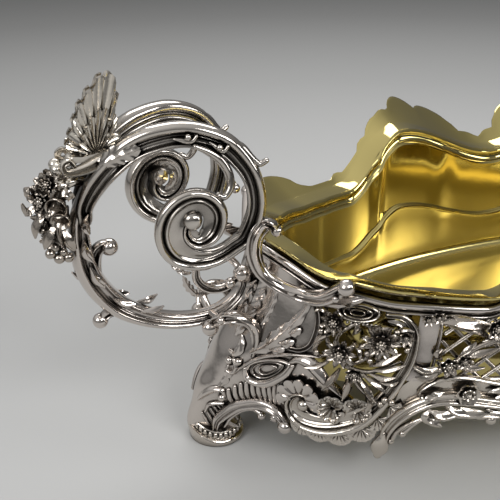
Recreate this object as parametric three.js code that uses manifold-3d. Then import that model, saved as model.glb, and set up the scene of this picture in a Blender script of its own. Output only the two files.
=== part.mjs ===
// An oval table jardiniere in cast and pierced silver with a lift-out gilt liner.
// Millimetres, +Z up, origin under the middle of the bowl, on the table.
// +X runs along the bowl and both handles, -Y is the front.
import * as THREE from 'three';
import { mergeVertices } from 'three/addons/utils/BufferGeometryUtils.js';
import Module from 'manifold-3d';

const wasm = await Module();
wasm.setup();

// Driving dimensions of the bowl
const RIM_HALF_LENGTH = 218;
const RIM_HALF_WIDTH = 105;
const BULGE = 0.05;
const BULGE_HEIGHT = 60;
const STRAIGHT_ABOVE = 115;
const STRAIGHT_UNDER_RIM = 4;
const WALL = 2.4;
const GAP = 0.35;
const FOOT_CLEARANCE = 0.8;
const PANEL_CLEARANCE = 1.6;
const RIM_TUBE_RADIUS = 3.4;

// Height of the rim tube along half the length, as [distance from the middle, height]
const RIM_HEIGHTS = [[0, 115.5], [82, 140], [127, 105.8], [165, 107], [192, 110.6], [218, 122]];

// Width of the gilt lip along half the length, measured outwards from the rim tube
const LIP_WIDTHS = [
  [0, 6], [20, 21], [39, 24], [52, 20], [62, 24], [80, 13.5], [97, 7], [113, 5.5], [148, 5],
  [162, 18], [172, 19.5], [190, 8.5], [199, 4], [207, 1], [218, 0],
];
const LIP_SLOPE = THREE.MathUtils.degToRad(30);
const LIP_THICKNESS = 1.6;
const LIP_ROOT = -9;
const RIM_STEPS = 84;

// The liner's floor and walls
const FLOOR_HEIGHT = 45;
const LINER_INSET_TOP = 9.8;
const LINER_INSET_FLOOR = 17;
const LINER_THICKNESS = 1.8;

// Feet
const FOOT_REACH = 241.5;
const SIDE_FOOT_REACH = 119;
const PAD_RADIUS = 17;
const PAD_HEIGHT = 9;

// Where the panels divide, in degrees round the bowl from the middle of an end
const END_SHELL_EDGE = 19;
const PILASTER_FROM = 46.6;
const PILASTER_TO = 48.8;
const TRELLIS_FROM = 49.1;
const TRELLIS_TO = 72;
const TRELLIS_CLEARANCE = 2.6;
const CENTRE_FROM = 72.4;

// Handles
const ARM_SPREAD = 0.277;
const ARM_OFFSET = -5.6;
const ARM_ORIGIN = -311.5;
const VOLUTE_CENTRE = { x: -258.3, y: -33, z: 147 };
const VOLUTE_START_RADIUS = 20.5;
const VOLUTE_NARROWS = 6.5;
const ARM_WIDTH = 12.5;
const ARM_DEPTH = 9;

const SILVER = new THREE.MeshStandardMaterial({ color: 0xb9b2a8, roughness: 0.18, metalness: 1 });
const DARK_SILVER = new THREE.MeshStandardMaterial({ color: 0x8f8a82, roughness: 0.3, metalness: 1 });
const GILT = new THREE.MeshStandardMaterial({ color: 0xc8a24a, roughness: 0.15, metalness: 1 });

const model = new THREE.Group();

// Small helpers

function vector(x, y, z) {
  return new THREE.Vector3(x, y, z);
}

// Smooth value between listed [position, value] knots
function between(knots, position) {
  const last = knots[knots.length - 1];
  if (position >= last[0]) return last[1];
  const i = knots.findIndex((knot) => knot[0] > position);
  if (i <= 0) return knots[0][1];
  const [x0, y0] = knots[i - 1];
  const [x1, y1] = knots[i];
  const t = THREE.MathUtils.smoothstep(position, x0, x1);
  return y0 + (y1 - y0) * t;
}

function signedVolume(points, index) {
  let sum = 0;
  for (let i = 0; i < index.length; i += 3) {
    const [a, b, c] = [points[index[i]], points[index[i + 1]], points[index[i + 2]]];
    sum += a.dot(b.clone().cross(c));
  }
  return sum;
}

// A closed geometry from shared points and triangles, turned so that its faces point out
function solidGeometry(points, index) {
  const order = signedVolume(points, index) > 0 ? index : index.slice().reverse();
  const geometry = new THREE.BufferGeometry();
  const flat = points.flatMap((p) => [p.x, p.y, p.z]);
  geometry.setAttribute('position', new THREE.Float32BufferAttribute(flat, 3));
  geometry.setIndex(order);
  geometry.computeVertexNormals();
  return geometry;
}

// Rings of points joined into one closed body; a loop joins its last ring to its first
function loft(rings, isLoop = false) {
  const count = rings[0].length;
  const points = rings.flat();
  const index = [];
  const steps = isLoop ? rings.length : rings.length - 1;
  for (let i = 0; i < steps; i += 1) {
    const a = i * count;
    const b = ((i + 1) % rings.length) * count;
    for (let j = 0; j < count; j += 1) {
      const k = (j + 1) % count;
      index.push(a + j, a + k, b + k, a + j, b + k, b + j);
    }
  }
  if (!isLoop) {
    for (const [ring, flip] of [[0, true], [rings.length - 1, false]]) {
      const middle = rings[ring].reduce((sum, p) => sum.add(p), vector(0, 0, 0)).divideScalar(count);
      const m = points.push(middle) - 1;
      for (let j = 0; j < count; j += 1) {
        const p = ring * count + j;
        const q = ring * count + ((j + 1) % count);
        index.push(...(flip ? [m, q, p] : [m, p, q]));
      }
    }
  }
  return solidGeometry(points, index);
}

// A closed slab between a grid of front points and the same grid of back points
function slab(front, back) {
  const rows = front.length;
  const columns = front[0].length;
  const points = [...front.flat(), ...back.flat()];
  const behind = rows * columns;
  const at = (r, c) => r * columns + c;
  const index = [];
  const quad = (a, b, c, d) => index.push(a, b, c, a, c, d);
  for (let r = 0; r < rows - 1; r += 1) {
    for (let c = 0; c < columns - 1; c += 1) {
      quad(at(r, c), at(r, c + 1), at(r + 1, c + 1), at(r + 1, c));
      quad(behind + at(r + 1, c), behind + at(r + 1, c + 1), behind + at(r, c + 1), behind + at(r, c));
    }
  }
  for (let c = 0; c < columns - 1; c += 1) {
    quad(at(0, c + 1), at(0, c), behind + at(0, c), behind + at(0, c + 1));
    quad(at(rows - 1, c), at(rows - 1, c + 1), behind + at(rows - 1, c + 1), behind + at(rows - 1, c));
  }
  for (let r = 0; r < rows - 1; r += 1) {
    quad(at(r, 0), at(r + 1, 0), behind + at(r + 1, 0), behind + at(r, 0));
    quad(at(r + 1, columns - 1), at(r, columns - 1), behind + at(r, columns - 1), behind + at(r + 1, columns - 1));
  }
  return solidGeometry(points, index);
}

// A bar swept along points: width lies across the outward direction, depth along it
function sweep(points, outward, widthAt, depthAt, sides = 6) {
  const rings = points.map((p, i) => {
    const before = points[Math.max(i - 1, 0)];
    const after = points[Math.min(i + 1, points.length - 1)];
    const along = after.clone().sub(before).normalize();
    const out = outward(p, i).clone();
    out.addScaledVector(along, -out.dot(along)).normalize();
    const across = along.clone().cross(out);
    const t = i / (points.length - 1);
    const reach = sides === 4 ? Math.SQRT1_2 : 0.5;
    const ring = [];
    for (let s = 0; s < sides; s += 1) {
      const angle = ((s + 0.5) / sides) * 2 * Math.PI;
      ring.push(p.clone()
        .addScaledVector(across, Math.cos(angle) * widthAt(t) * reach)
        .addScaledVector(out, Math.sin(angle) * depthAt(t) * reach));
    }
    return ring;
  });
  return loft(rings);
}

// Evenly spaced points of a smooth curve through hand-set points
function smooth(corners, count) {
  return new THREE.CatmullRomCurve3(corners.map((c) => vector(...c)), false, 'centripetal').getSpacedPoints(count);
}

function toSolid(geometry) {
  const merged = cleaned(geometry);
  return new wasm.Manifold(new wasm.Mesh({
    numProp: 3,
    vertProperties: new Float32Array(merged.attributes.position.array),
    triVerts: new Uint32Array(merged.index.array),
  }));
}

function toGeometry(solid) {
  const mesh = solid.getMesh();
  const geometry = new THREE.BufferGeometry();
  geometry.setAttribute('position', new THREE.Float32BufferAttribute(mesh.vertProperties, 3));
  geometry.setIndex(Array.from(mesh.triVerts));
  geometry.computeVertexNormals();
  return geometry;
}

// The same closed mesh with shared corners and outward faces
function cleaned(geometry) {
  const bare = geometry.clone();
  bare.deleteAttribute('normal');
  bare.deleteAttribute('uv');
  const merged = mergeVertices(bare, 1e-4);
  const points = [];
  for (let i = 0; i < merged.attributes.position.count; i += 1) {
    points.push(new THREE.Vector3().fromBufferAttribute(merged.attributes.position, i));
  }
  return solidGeometry(points, Array.from(merged.index.array));
}

function join(geometries) {
  return toGeometry(geometries.map(toSolid).reduce((sum, solid) => sum.add(solid)));
}

function cut(geometry, ...tools) {
  return toGeometry(tools.map(toSolid).reduce((rest, tool) => rest.subtract(tool), toSolid(geometry)));
}

function ball(centre, radius) {
  return new THREE.SphereGeometry(radius, 6, 3).translate(centre.x, centre.y, centre.z);
}

// The same geometry on the other side of the bowl
function mirrored(geometry, signX, signY) {
  const copy = geometry.clone();
  copy.scale(signX, signY, 1);
  if (signX * signY < 0) {
    const turned = Array.from(copy.index.array).reverse();
    copy.setIndex(turned);
  }
  copy.computeVertexNormals();
  return copy;
}

function addPiece(name, geometry, material) {
  const mesh = new THREE.Mesh(geometry, material.clone());
  mesh.name = name;
  model.add(mesh);
}

function addToFourQuarters(name, geometry, material = SILVER) {
  addPiece(`${name}_front_left`, geometry, material);
  addPiece(`${name}_front_right`, mirrored(geometry, -1, 1), material);
  addPiece(`${name}_back_left`, mirrored(geometry, 1, -1), material);
  addPiece(`${name}_back_right`, mirrored(geometry, -1, -1), material);
}

function addToBothEnds(name, geometry, material = SILVER) {
  addPiece(`${name}_left`, geometry, material);
  addPiece(`${name}_right`, mirrored(geometry, -1, 1), material);
}

function addToFrontAndBack(name, geometry, material = SILVER) {
  addPiece(`${name}_front`, geometry, material);
  addPiece(`${name}_back`, mirrored(geometry, 1, -1), material);
}

// The bowl's wall, by degrees round from the left end towards the front

function rimHeight(degrees) {
  return between(RIM_HEIGHTS, RIM_HALF_LENGTH * Math.abs(Math.cos(THREE.MathUtils.degToRad(degrees))));
}

function lipWidth(degrees) {
  return between(LIP_WIDTHS, RIM_HALF_LENGTH * Math.abs(Math.cos(THREE.MathUtils.degToRad(degrees))));
}

function bulgeAt(degrees, z) {
  const straight = Math.min(STRAIGHT_ABOVE, rimHeight(degrees) - STRAIGHT_UNDER_RIM);
  if (z > BULGE_HEIGHT) return 1 - THREE.MathUtils.smoothstep(z, BULGE_HEIGHT, straight);
  return 1 - 0.3 * ((BULGE_HEIGHT - z) / BULGE_HEIGHT) ** 2;
}

function wallNormal(degrees) {
  const angle = THREE.MathUtils.degToRad(degrees);
  return vector(-Math.cos(angle) / RIM_HALF_LENGTH, -Math.sin(angle) / RIM_HALF_WIDTH, 0).normalize();
}

function wallPoint(degrees, z, out = 0) {
  const angle = THREE.MathUtils.degToRad(degrees);
  const scale = 1 + BULGE * bulgeAt(degrees, z);
  const point = vector(-RIM_HALF_LENGTH * scale * Math.cos(angle), -RIM_HALF_WIDTH * scale * Math.sin(angle), z);
  return point.addScaledVector(wallNormal(degrees), out);
}

function outwardAt(p) {
  return vector(p.x / RIM_HALF_LENGTH ** 2, p.y / RIM_HALF_WIDTH ** 2, 0).normalize();
}

// A curved plate of the wall between two angles and two heights
function wallPlate(from, to, lowAt, highAt, columns, rows) {
  const rings = [];
  for (let c = 0; c <= columns; c += 1) {
    const degrees = from + (to - from) * c / columns;
    const ring = [];
    for (let r = 0; r <= rows; r += 1) {
      ring.push(wallPoint(degrees, THREE.MathUtils.lerp(lowAt(degrees), highAt(degrees), r / rows)));
    }
    for (let r = rows; r >= 0; r -= 1) {
      ring.push(wallPoint(degrees, THREE.MathUtils.lerp(lowAt(degrees), highAt(degrees), r / rows), -WALL));
    }
    rings.push(ring);
  }
  return loft(rings);
}

// A flat band laid on the wall through [degrees, height] corners
function wallBand(corners, count, widthAt, depth, out = 0) {
  const path = smooth(corners.map(([degrees, z]) => [degrees, z, 0]), count);
  const points = path.map((p) => wallPoint(p.x, p.y, out));
  return sweep(points, outwardAt, widthAt, () => depth, 4);
}

function panelTop(degrees) {
  return rimHeight(degrees) - RIM_TUBE_RADIUS - PANEL_CLEARANCE;
}

// The rim tube that follows the rise and fall of the edge
function rimMoulding() {
  const sides = 6;
  const rings = [];
  for (let i = 0; i < RIM_STEPS; i += 1) {
    const degrees = (360 * i) / RIM_STEPS;
    const centre = wallPoint(degrees, rimHeight(degrees));
    const normal = wallNormal(degrees);
    const ring = [];
    for (let s = 0; s < sides; s += 1) {
      const angle = (s / sides) * 2 * Math.PI;
      ring.push(centre.clone()
        .addScaledVector(normal, Math.cos(angle) * RIM_TUBE_RADIUS)
        .add(vector(0, 0, Math.sin(angle) * RIM_TUBE_RADIUS)));
    }
    rings.push(ring);
  }
  return loft(rings, true);
}

// Gilt liner: a pan with a flat floor, and the wavy lip that rests on the rim tube

function linerRing(inset, zAt, steps) {
  const ring = [];
  for (let i = 0; i < steps; i += 1) {
    const degrees = (360 * i) / steps;
    const normal = wallNormal(degrees);
    const rim = wallPoint(degrees, STRAIGHT_ABOVE);
    rim.z = zAt(degrees);
    ring.push(rim.addScaledVector(normal, -inset));
  }
  return ring;
}

function linerPan() {
  const steps = RIM_STEPS / 2;
  const top = (degrees) => rimHeight(degrees) + RIM_TUBE_RADIUS + GAP + LIP_THICKNESS;
  const rings = [
    linerRing(LINER_INSET_FLOOR, () => FLOOR_HEIGHT - LINER_THICKNESS, steps),
    linerRing(LINER_INSET_TOP + 1, () => FLOOR_HEIGHT + 20, steps),
    linerRing(LINER_INSET_TOP, top, steps),
    linerRing(LINER_INSET_TOP + LINER_THICKNESS, top, steps),
    linerRing(LINER_INSET_TOP + LINER_THICKNESS + 1, () => FLOOR_HEIGHT + 20, steps),
    linerRing(LINER_INSET_FLOOR + LINER_THICKNESS, () => FLOOR_HEIGHT, steps),
  ];
  return loft(rings);
}

function linerLip() {
  const rings = [];
  for (let i = 0; i < RIM_STEPS; i += 1) {
    const degrees = (360 * i) / RIM_STEPS;
    const normal = wallNormal(degrees);
    const root = wallPoint(degrees, STRAIGHT_ABOVE);
    root.z = rimHeight(degrees) + RIM_TUBE_RADIUS + GAP;
    const width = lipWidth(degrees);
    const rise = Math.max(width, 0) * Math.tan(LIP_SLOPE);
    const at = (out, up) => root.clone().addScaledVector(normal, out).add(vector(0, 0, up));
    rings.push([
      at(LIP_ROOT, 0),
      at(Math.min(0, width - 1), 0),
      at(width, rise),
      at(width, rise + LIP_THICKNESS),
      at(Math.min(0, width - 1), LIP_THICKNESS),
      at(LIP_ROOT, LIP_THICKNESS),
    ]);
  }
  return loft(rings, true);
}

// Panels of the bowl

function endShell() {
  const low = (degrees) => 44 - 14 * Math.cos(THREE.MathUtils.degToRad(degrees * 4));
  return wallPlate(-END_SHELL_EDGE, END_SHELL_EDGE, low, panelTop, 10, 4);
}

function flutedSkirt() {
  const high = (degrees) => 84 - 2 * (degrees - END_SHELL_EDGE);
  return wallPlate(END_SHELL_EDGE + 0.4, 26.6, () => 54, high, 5, 2);
}

function pilaster() {
  return wallPlate(PILASTER_FROM, PILASTER_TO, () => 68, panelTop, 2, 3);
}

function trellisLow(degrees) {
  return 72 - 0.3 * (degrees - TRELLIS_FROM);
}

// A thin plate pierced with diamonds, drawn as degrees across and height up, then bent on to the wall
function trellis() {
  const columns = 6;
  const rows = 2;
  const bar = 0.13;
  const reach = 0.5 - bar;
  const inside = (value, count) => THREE.MathUtils.clamp(value, bar, count - bar);
  const place = (u, v) => {
    const degrees = THREE.MathUtils.lerp(TRELLIS_FROM, TRELLIS_TO, u / columns);
    const height = THREE.MathUtils.lerp(trellisLow(degrees), panelTop(degrees) - TRELLIS_CLEARANCE, v / rows);
    return new THREE.Vector2(degrees, height + 0.5 * Math.sin(u) ** 2);
  };
  const outline = [];
  for (let i = 0; i <= columns; i += 1) outline.push(place(i, 0));
  for (let i = columns * 2; i >= 0; i -= 1) outline.push(place(i / 2, rows));
  const shape = new THREE.Shape(outline);
  for (let i = 0; i <= columns * 2; i += 1) {
    for (let j = 0; j <= rows * 2; j += 1) {
      const isCorner = (i % (columns * 2) === 0) && (j % (rows * 2) === 0);
      if ((i + j) % 2 || isCorner) continue;
      const corners = [[-reach, 0], [0, -reach], [reach, 0], [0, reach]]
        .map(([du, dv]) => [i / 2 + du, j / 2 + dv])
        .filter(([u, v]) => u >= 0 && u <= columns && v >= 0 && v <= rows)
        .map(([u, v]) => place(inside(u, columns), inside(v, rows)));
      shape.holes.push(new THREE.Path(corners));
    }
  }
  const plate = new THREE.ExtrudeGeometry(shape, { depth: WALL, bevelEnabled: false });
  const position = plate.attributes.position;
  for (let i = 0; i < position.count; i += 1) {
    const point = wallPoint(position.getX(i), position.getY(i), position.getZ(i) - WALL);
    position.setXYZ(i, point.x, point.y, point.z);
  }
  return cleaned(plate);
}

function centrePanel() {
  const low = (degrees) => 64 - 10 * Math.sin(THREE.MathUtils.degToRad((degrees - CENTRE_FROM) * 180 / 35.2));
  return wallPlate(CENTRE_FROM, 180 - CENTRE_FROM, low, panelTop, 10, 4);
}

// The large C-scroll round a floral panel, from its volute under the bowl to the rim
const C_SCROLL = [
  [24, 45], [22, 39], [22.6, 31], [26, 25], [30.6, 26], [34.8, 30], [39, 38], [42.4, 52], [44.2, 65],
  [44.7, 78], [44.4, 88], [42.8, 96], [39.7, 100],
];

function scrollFrame(extra = 0) {
  const width = (t) => THREE.MathUtils.lerp(6.5, 4.2, t) + extra;
  const band = wallBand(C_SCROLL, 17, width, 5 + extra, 0.6);
  const volute = ball(wallPoint(25.2, 44, 2), 6.5 + extra / 2);
  const scallops = [[25.8, 21], [29.5, 19.5], [33.5, 21.5], [37.5, 28]];
  return join([band, volute, ...scallops.map(([degrees, z]) => ball(wallPoint(degrees, z, 1), 7))]);
}

// Flowers and leaves inside the C-scroll, on one branching stem
function flowerSpray() {
  const branch = [[29, 66], [33, 76], [36, 68], [40, 62], [42, 72], [39, 86], [34, 93], [31, 88]];
  const stem = wallBand(branch, 10, () => 3.6, 3);
  const flowers = [[31.4, 77, 9], [38.4, 86, 9], [36, 64, 7]].map(([degrees, z, radius]) => {
    const disc = new THREE.CylinderGeometry(radius * 0.35, radius, 5, 6);
    const centre = wallPoint(degrees, z, 2);
    disc.applyQuaternion(new THREE.Quaternion().setFromUnitVectors(vector(0, 1, 0), wallNormal(degrees)));
    return disc.translate(centre.x, centre.y, centre.z);
  });
  const leaves = [[[36, 64], [38.4, 50]], [[34.5, 64], [31.6, 44]], [[32, 72], [29, 54]]];
  const blades = leaves.map((ends) => wallBand(ends, 2, (t) => 1.5 + 5 * Math.sin(Math.PI * t), 3, 0.2));
  return cut(join([stem, ...flowers, ...blades]), scrollFrame(2 * GAP));
}

// Leaf garland slung over the trellis
function garland() {
  const slung = [[49.5, 76], [53, 79], [58, 88], [63, 98], [68, 106]];
  const stem = wallBand(slung, 6, (t) => 2 + 4.5 * Math.sin(Math.PI * t), 2.6, 3.4);
  return join([stem, ball(wallPoint(53.5, 80, 6.2), 5.5), ball(wallPoint(63, 98, 5.8), 5)]);
}

// The lower border, rising from its ball beside the C-scroll and running to the side foot
const APRON = [
  [41.2, 23], [43.9, 38], [47, 52], [51, 60], [55.5, 62], [60, 60], [66.8, 58], [73, 50], [78.5, 40],
];

function apronScroll() {
  const width = (t) => 4 + 7 * Math.sin(Math.PI * Math.min(1, t * 1.1));
  const band = wallBand(APRON, 14, width, 5, 0);
  const drops = [ball(wallPoint(41, 22, 0), 4.2), ball(wallPoint(59, 46, 0), 4)];
  const twig = wallBand([[62, 58], [59, 46]], 3, () => 3.4, 3.4);
  return join([band, ...drops, twig]);
}

// Feet

// A solid block of everything inside the bowl's outer face, with a little clearance
function bowlBlock() {
  const rings = [12, 30, 45, 60, 80, 100, 120].map((z) => {
    const ring = [];
    for (let i = 0; i < 72; i += 1) ring.push(wallPoint(5 * i, z, FOOT_CLEARANCE));
    return ring;
  });
  return loft(rings);
}

// A scroll foot: rings as [height, distance out, half length along the reach, half width]
const END_FOOT = [
  [PAD_HEIGHT + GAP, 243, 14.5, 13], [16, 244.5, 12.5, 10], [26, 243, 13, 11], [40, 236, 15.5, 14],
  [54, 227, 16, 19], [66, 219, 14, 22], [78, 212, 12, 20],
];
const SIDE_FOOT = [
  [PAD_HEIGHT + GAP, 119, 13, 13], [16, 118, 14, 15], [26, 115.5, 14, 17], [40, 110, 13, 20], [52, 105, 11, 22],
];

function footBody(rows, toward) {
  const rings = rows.map(([z, reach, long, wide]) => {
    const ring = [];
    for (let i = 0; i < 12; i += 1) {
      const angle = (i / 12) * 2 * Math.PI;
      const out = reach + long * Math.cos(angle);
      const side = wide * Math.sin(angle);
      ring.push(toward === 'end' ? vector(-out, side, z) : vector(side, -out, z));
    }
    return ring;
  });
  return cut(loft(rings), bowlBlock());
}

function footPad(x, y) {
  const neck = PAD_RADIUS - 2.5;
  const profile = [
    [0, 0], [PAD_RADIUS - 1, 0], [PAD_RADIUS, 1.5], [PAD_RADIUS, 4], [neck, 6], [neck, PAD_HEIGHT], [0, PAD_HEIGHT],
  ];
  const pad = new THREE.LatheGeometry(profile.map(([r, z]) => new THREE.Vector2(r, z)), 18);
  pad.rotateX(Math.PI / 2).translate(x, y, 0);
  return toGeometry(toSolid(pad));
}

// Handles

function armPlaneY(x) {
  return ARM_OFFSET - ARM_SPREAD * (x - ARM_ORIGIN);
}

const ARM_OUTWARD = vector(-ARM_SPREAD, -1, 0).normalize();

// One arm: over the top, down beside the bowl and round into its volute
const ARM_TOP = [
  [-296, 175.5], [-291, 179.5], [-284.5, 183.5], [-275.5, 187], [-261.5, 190], [-250.5, 188], [-241, 183.5],
  [-234.5, 176.5], [-229.5, 168], [-226.5, 159], [-227.5, 148.5], [-231, 140.5], [-236, 134],
];

function armPath() {
  const points = ARM_TOP.map(([x, z]) => [x, armPlaneY(x), z]);
  const from = -42;
  const to = -322;
  for (let degrees = from; degrees >= to; degrees -= 20) {
    const t = (degrees - from) / (to - from);
    const radius = VOLUTE_START_RADIUS - VOLUTE_NARROWS * t;
    const angle = THREE.MathUtils.degToRad(degrees);
    const y = THREE.MathUtils.lerp(armPlaneY(-240), VOLUTE_CENTRE.y, Math.min(1, 2 * t));
    points.push([VOLUTE_CENTRE.x + radius * Math.cos(angle), y, VOLUTE_CENTRE.z + radius * Math.sin(angle)]);
  }
  return smooth(points, 25);
}

function armBand(extra = 0) {
  const width = (t) => THREE.MathUtils.lerp(ARM_WIDTH, 7, t) + extra;
  const depth = (t) => THREE.MathUtils.lerp(ARM_DEPTH, 6, t) + extra;
  return sweep(armPath(), () => ARM_OUTWARD, width, depth);
}

function handleArm() {
  const band = armBand();
  const profile = [[0, -4], [7, -4], [15, -2.5], [15, 2.5], [9, 3], [6, 5], [0, 6]];
  const button = new THREE.LatheGeometry(profile.map(([r, h]) => new THREE.Vector2(r, h)), 8);
  button.applyQuaternion(new THREE.Quaternion().setFromUnitVectors(vector(0, 1, 0), ARM_OUTWARD));
  button.translate(VOLUTE_CENTRE.x, VOLUTE_CENTRE.y, VOLUTE_CENTRE.z);
  const spur = [[-236, 177], [-230, 175], [-223.6, 176]].map(([x, z]) => [x, armPlaneY(x), z]);
  const thorn = sweep(smooth(spur, 4), () => ARM_OUTWARD, (t) => 6 - 3 * t, () => 4, 4);
  return join([band, button, thorn]);
}

// The lower arm, from behind the flowers round to the end shell, with its three buds
const LOWER_ARM = [
  [-299, 166], [-303, 160], [-308, 150], [-310, 135], [-308, 119], [-302, 105], [-293, 94], [-281, 86],
  [-266, 80.5], [-250, 79], [-238, 81], [-229.5, 87.5], [-226, 94], [-225, 99],
];

function handleLower() {
  const towardFront = () => vector(0, -1, 0);
  const flat = (corners, steps) => smooth(corners.map(([x, z]) => [x, 0, z]), steps);
  const width = (t) => THREE.MathUtils.lerp(12, 7, t);
  const depth = (t) => THREE.MathUtils.lerp(15, 9, t);
  const band = sweep(flat(LOWER_ARM, 20), towardFront, width, depth, 6);
  const buds = [
    [[-302, 108], [-305, 122], [-300, 130], [-296, 129]],
    [[-286, 89], [-296, 90], [-303, 87]],
    [[-236, 82], [-240, 77], [-247, 74.5]],
  ];
  const stalks = buds.map((corners) => sweep(flat(corners, 5), towardFront, () => 4.5, () => 5, 4));
  const ends = buds.map((corners) => corners[corners.length - 1]);
  return join([band, ...stalks, ...ends.map(([x, z]) => ball(vector(x, 0, z), 4.1))]);
}

// The winged shell that crowns the handle: its ribs fan out in the handle's own plane
const SHELL_ROOT = [-299, 178];
const SHELL_TIPS = [
  [-286.8, 202], [-286.8, 213.5], [-290.5, 217.2], [-294.5, 215.2], [-299, 211], [-302.5, 206.7],
  [-305.3, 202.5], [-307.6, 197.6], [-309.2, 192.8], [-311.2, 188.5], [-312.4, 185], [-313, 181.5],
];

function handleShell() {
  const near = [];
  const far = [];
  for (const [reach, half] of [[0.02, 6.5], [0.6, 6.2], [1, 4.4]]) {
    const line = SHELL_TIPS.map(([x, z], i) => {
      const ridge = i % 2 === 1;
      const share = reach * (ridge ? 1 : 0.95);
      const side = half + (ridge ? 0.8 : -0.8) * reach;
      const place = new THREE.Vector2(...SHELL_ROOT).lerp(new THREE.Vector2(x, z), share);
      return vector(place.x, -side, place.y);
    });
    near.push(line);
    far.push(line.map((p) => vector(p.x, -p.y, p.z)));
  }
  const roll = smooth([[-290, 0, 180], [-297, 0, 176.5], [-304, 0, 174.5], [-309, 0, 174.5]], 5);
  const foot = sweep(roll, () => vector(0, 1, 0), () => 6, () => 20, 6);
  return cut(join([slab(near, far), foot]), armBand(2 * GAP), mirrored(armBand(2 * GAP), 1, -1));
}

// The flower cluster that hangs down the outside of the handle
function handleFlowers() {
  const petals = [];
  const heads = [
    [-320, -7, 158, 9], [-319, 8, 154, 9], [-323, 0, 147, 8.5],
    [-319.5, 0, 165, 6.5], [-321, -3, 137, 6], [-321, 3, 131, 5],
  ];
  for (const [x, y, z, radius] of heads) {
    const cup = new THREE.ConeGeometry(radius, 9, 8).rotateZ(-Math.PI / 2);
    petals.push(cup.translate(x, y, z));
  }
  const hanging = smooth([[-318, 0, 167], [-321, 0, 150], [-321.5, 0, 138], [-318.5, 0, 129]], 8);
  const stem = sweep(hanging, () => vector(-1, 0, 0), () => 9, () => 6, 4);
  return join([stem, ...petals]);
}

// Scroll bracket from beside the arm down and along the rim
const BRACKET = [
  [-218.5, -32, 141], [-222.5, -32.5, 143.8], [-228.9, -33, 138.8], [-230.3, -33, 133], [-229.8, -33, 126.7],
  [-226.5, -33.5, 118.4], [-220.5, -35, 112.4], [-213.5, -38.5, 108.2], [-207, -43.5, 106.5],
  [-202, -53, 108.8], [-199, -61, 114.5], [-196, -68.6, 122],
];

function handleBracket() {
  const bar = sweep(smooth(BRACKET, 14), outwardAt, (t) => 5 + 2 * Math.sin(Math.PI * t), () => 5, 4);
  const drops = [ball(vector(-217.5, -32, 140), 3.2), ball(vector(-195.5, -69.5, 122.5), 4)];
  const scroll = join([bar, ...drops]);
  return cut(scroll, bowlBlock(), rimMoulding(), armBand(2 * GAP));
}

// Assembly

addPiece('rim_moulding', rimMoulding(), SILVER);
addPiece('liner_pan', linerPan(), GILT);
addPiece('liner_lip', linerLip(), GILT);
addToBothEnds('end_shell', endShell());
addToFourQuarters('fluted_skirt', flutedSkirt());
addToFourQuarters('pilaster', pilaster());
addToFourQuarters('trellis', trellis(), DARK_SILVER);
addToFrontAndBack('centre_panel', centrePanel());
addToFourQuarters('scroll_frame', scrollFrame());
addToFourQuarters('flower_spray', flowerSpray(), DARK_SILVER);
addToFourQuarters('garland', garland(), DARK_SILVER);
addToFourQuarters('apron_scroll', apronScroll());
addToBothEnds('foot', footBody(END_FOOT, 'end'));
addToFrontAndBack('foot', footBody(SIDE_FOOT, 'side'));
addToBothEnds('foot_pad', footPad(-FOOT_REACH, 0));
addToFrontAndBack('foot_pad', footPad(0, -SIDE_FOOT_REACH));
addToFourQuarters('handle_arm', handleArm());
addToBothEnds('handle_lower', handleLower());
addToBothEnds('handle_shell', handleShell());
addToBothEnds('handle_flowers', handleFlowers(), DARK_SILVER);
addToFourQuarters('handle_bracket', handleBracket());

export default model;
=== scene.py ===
# %% [markdown]
# An oval table jardiniere in cast and pierced silver, with a gilt liner that lifts out.
# The frame comes from the CAD model. Here each part gets the form a silversmith gives it:
# arms with reeded mouldings, volutes, acanthus leaves, flowers and shells.

# %% The shared frame
import math

import bpy
import numpy as np
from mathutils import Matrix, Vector


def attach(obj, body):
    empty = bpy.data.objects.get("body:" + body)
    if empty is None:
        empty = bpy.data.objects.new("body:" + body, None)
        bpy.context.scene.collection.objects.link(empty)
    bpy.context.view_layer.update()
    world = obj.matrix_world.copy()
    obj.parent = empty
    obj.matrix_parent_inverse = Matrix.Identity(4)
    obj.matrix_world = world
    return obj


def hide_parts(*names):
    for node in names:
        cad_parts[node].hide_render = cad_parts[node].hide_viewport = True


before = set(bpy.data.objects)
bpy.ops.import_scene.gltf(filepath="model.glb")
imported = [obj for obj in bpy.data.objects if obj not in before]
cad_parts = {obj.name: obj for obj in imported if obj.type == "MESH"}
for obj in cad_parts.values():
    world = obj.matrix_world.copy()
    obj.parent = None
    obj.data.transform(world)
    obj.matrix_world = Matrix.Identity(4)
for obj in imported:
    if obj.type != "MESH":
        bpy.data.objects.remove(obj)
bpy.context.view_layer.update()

# %% [markdown]
# The camera stands to the left of the middle and looks down at 25 degrees.
# A longer lens than usual keeps the handle from swelling, as a product photographer would have it.

# %% Camera
EYE = Vector((-0.35456, -0.36977, 0.29823))
LENS = 57.6
SENSOR = 36
TURN = math.radians(20)
TILT = math.radians(25)
sight = Vector((math.sin(TURN) * math.cos(TILT), math.cos(TURN) * math.cos(TILT), -math.sin(TILT)))
camera = bpy.data.objects.new("camera", bpy.data.cameras.new("camera"))
bpy.context.scene.collection.objects.link(camera)
camera.data.sensor_width = SENSOR
camera.data.lens = LENS
camera.data.clip_start = 0.01
camera.location = EYE
camera.rotation_euler = sight.to_track_quat("-Z", "Y").to_euler()
bpy.context.scene.camera = camera
bpy.context.scene.view_settings.view_transform = "Standard"
print("camera", [round(v, 3) for v in camera.location])

# %% [markdown]
# Curves come first. Every scroll is a smooth line through a few corners that a maker would
# prick out on the wax, and a value such as a width runs smoothly along it.

# %% Smooth values and smooth lines


def unit(vectors):
    vectors = np.asarray(vectors, float)
    return vectors / np.maximum(np.linalg.norm(vectors, axis=-1, keepdims=True), 1e-12)


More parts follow.
